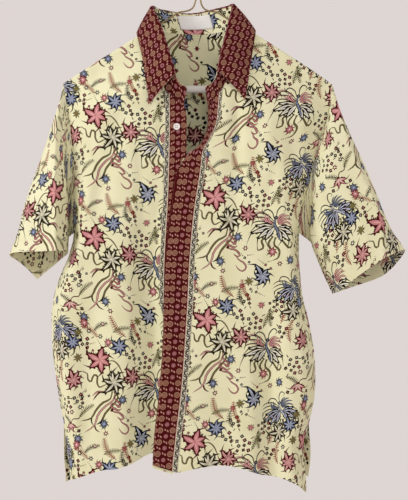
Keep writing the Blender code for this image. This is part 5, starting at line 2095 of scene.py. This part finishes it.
def add_buttons():
    pearl = mottled("pearl", (0.86, 0.83, 0.78, 1), 0.2, scale=140.0, depth=0.00002, low=0.9)
    pearl.node_tree.nodes["Principled BSDF"].inputs["Coat Weight"].default_value = 0.4
    thread = mottled("button_thread", (0.62, 0.55, 0.42, 1), 0.7)
    vertices, faces = button_mesh()
    half = BUTTON_THICK / 2
    for index in range(BUTTON_COUNT):
        z = np.array(TOP_BUTTON - BUTTON_PITCH * index)
        if index == 0:
            x, under = -36.0, placket_point("placket_right", 0.5, z)[1]
        else:
            x, under, _ = placket_point("placket_left", 0.52, z, FLY_STEP)
        centre = np.array((x, under - WALL / 2 - SEAM_GAP - half, float(z)))
        number = index + 1
        piece_of("pearl_button_%d" % number, vertices + centre, faces, pearl,
                 ("button_%d" % number,), smooth=False)
        bars, bar_faces = [], []
        for z_side in (-HOLE_ASIDE, HOLE_ASIDE):
            line = ((-1.7, 0.5), (-0.9, -0.62), (0.9, -0.62), (1.7, 0.5))
            first = len(bars)
            for x_part, y_part in line:
                for dy, dz in ((-0.28, 0), (0, 0.34), (0.28, 0), (0, -0.34)):
                    bars.append(centre + (x_part, y_part + dy, z_side + dz))
            for step in range(3):
                for k in range(4):
                    a, b = first + step * 4 + k, first + step * 4 + (k + 1) % 4
                    bar_faces.append((a, b, b + 4, a + 4))
            bar_faces += [tuple(range(first + 3, first - 1, -1)),
                          tuple(range(first + 12, first + 16))]
        piece_of("button_thread_%d" % number, bars, bar_faces, thread)


def add_label(stand):
    """Blank woven label with its two ends folded under, on the inside of the stand."""
    look, shader, new, link = material("woven_label", 0.7)
    place = new("ShaderNodeTexCoord").outputs["Object"]
    tint = noise(new, link, place, 420)
    link(tinted(new, link, (0.82, 0.81, 0.79, 1), tint, (0.9, 0.9, 0.9, 1), (1, 1, 1, 1)),
         shader.inputs["Base Color"])
    weave_bump(new, link, shader, place, 0.0005, 0.5, 0.0002)
    rows, columns = 9, 33
    halfway = len(STAND_ROWS) // 2
    x, y, _ = stand.lattice[halfway].T
    u_centre = stand.u[halfway, np.where(y > 0, abs(x - LABEL_CENTRE), math.inf).argmin()]
    across = np.linspace(-LABEL_WIDTH / 2, LABEL_WIDTH / 2, columns)
    down = np.linspace(0.8, 0.2, rows) * stand.v.min()
    grid = np.stack(np.meshgrid(u_centre + across, down), axis=-1).reshape(-1, 2)
    row, column = stand.find(grid)
    normals = stand.normals(row, column)
    lift = np.interp(abs(grid[:, 0] - u_centre), (0, 20, 23, 29), (1.3, 1.1, 1.35, 1.2))
    lift = lift + 0.25 * np.sin(grid[:, 0] / 7 + grid[:, 1] / 9)
    thick = np.interp(abs(grid[:, 0] - u_centre), (22.5, 23.5), (0.2, 0.42))
    points = stand.at(row, column)
    base = points - normals * lift[:, None]
    shell = np.vstack([base - normals * thick[:, None], base + normals * thick[:, None]])
    starts = [i * columns + j for i in range(rows - 1) for j in range(columns - 1)]
    faces = closed_shell([(a, a + 1, a + columns + 1, a + columns) for a in starts],
                         rows * columns)
    corner = shell[[0, 1, columns]]
    facing = np.cross(corner[1] - corner[0], corner[2] - corner[0])
    if (facing * normals[0]).sum() > 0:
        faces = [face[::-1] for face in faces]
    piece_of("label", shell, faces, look, ("neck_label",))


def finish_hanger():
    wire = mottled("golden_wire", (0.36, 0.27, 0.13, 1), 0.34, 0.85, 500.0, 0.00003, 0.7)
    card = mottled("card_tube", (0.80, 0.78, 0.74, 1), 0.75, 0.0, 240.0, 0.0002, 0.9)
    for name, look in (("hanger_wire_hook", wire), ("hanger_wire_wrap", wire),
                       ("hanger_tube", card)):
        node = bpy.data.objects[name]
        for slot in node.material_slots:
            slot.material = look


def make_shirt():
    sheets = [torso_sheet(name) for name in ("front_right", "front_left", "back")]
    sheets += [placket_sheet(name) for name in ("placket_right", "placket_left")]
    sheets += [sleeve_sheet(name) for name in ("sleeve_right", "sleeve_left")]
    sheets += collar_sheets({sheet.name: sheet for sheet in sheets})
    pieces = {sheet.name: sheet for sheet in sheets}
    join_seams(pieces.values())
    pieces["fly_strip"] = fly_sheet()
    cotton = batik()
    library = motifs()
    for name, sheet in pieces.items():
        flowers = in_numbers(all_over(library, sheet, *PRINT_PLACE.get(name, (0, 0))))
        if name.startswith("placket"):
            prints = in_numbers(band(sheet)), flowers
        elif name == "collar_stand":
            prints = in_numbers(lattice_print(sheet)), flowers
        elif name == "collar_leaf":
            prints = in_numbers(lattice_print(sheet)), None
        else:
            prints = flowers, None
        made = make_cloth(sheet, *prints, cotton, slot_of(name))
    sew(pieces)
    add_label(pieces["collar_stand"])


make_shirt()
add_buttons()
finish_hanger()


# Camera, in metres: the height of the view and its middle, and how far the camera stands off.
VIEW_HEIGHT = 0.85
VIEW_CENTRE = (0.0102, -0.527)
DISTANCE = 3.2
SENSOR = 36
FLOOR = -1.25


def add_camera():
    camera = bpy.data.cameras.new("camera")
    camera.sensor_fit = "VERTICAL"
    camera.sensor_height = SENSOR
    camera.lens = SENSOR * DISTANCE / VIEW_HEIGHT
    camera.clip_end = 50
    made = bpy.data.objects.new("camera", camera)
    made.location = (VIEW_CENTRE[0], -DISTANCE - 0.025, VIEW_CENTRE[1])
    made.rotation_euler = (math.pi / 2, 0, 0)
    bpy.context.scene.collection.objects.link(made)
    bpy.context.scene.camera = made


def add_light(name, place, target, power):
    light = bpy.data.lights.new(name, "AREA")
    light.shape = "DISK"
    light.size = 1.2
    light.energy = power
    made = bpy.data.objects.new(name, light)
    made.location = place
    made.rotation_euler = (Vector(target) - Vector(place)).to_track_quat("-Z", "Y").to_euler()
    bpy.context.scene.collection.objects.link(made)


def add_studio():
    scene = bpy.context.scene
    scene.view_settings.view_transform = "Standard"
    world = bpy.data.worlds.new("studio")
    world.use_nodes = True
    world.node_tree.nodes["Background"].inputs["Color"].default_value = (0.73, 0.67, 0.645, 1)
    scene.world = world
    add_light("key", (-3.0, -1.5, 0.7), (0, 0, -0.5), 52)
    add_light("fill", (0.3, -3.2, 0.8), (0, 0, -0.2), 14)
    mesh = bpy.data.meshes.new("floor")
    corners = ((-1.2, -1.0), (1.2, -1.0), (1.2, 0.8), (-1.2, 0.8))
    mesh.from_pydata([(*corner, FLOOR) for corner in corners], [], [(0, 1, 2, 3)])
    floor = bpy.data.objects.new("floor", mesh)
    mesh.materials.append(mottled("floor", (0.76, 0.70, 0.675, 1), 0.9, scale=6.0, low=0.97))
    scene.collection.objects.link(floor)


add_camera()
add_studio()
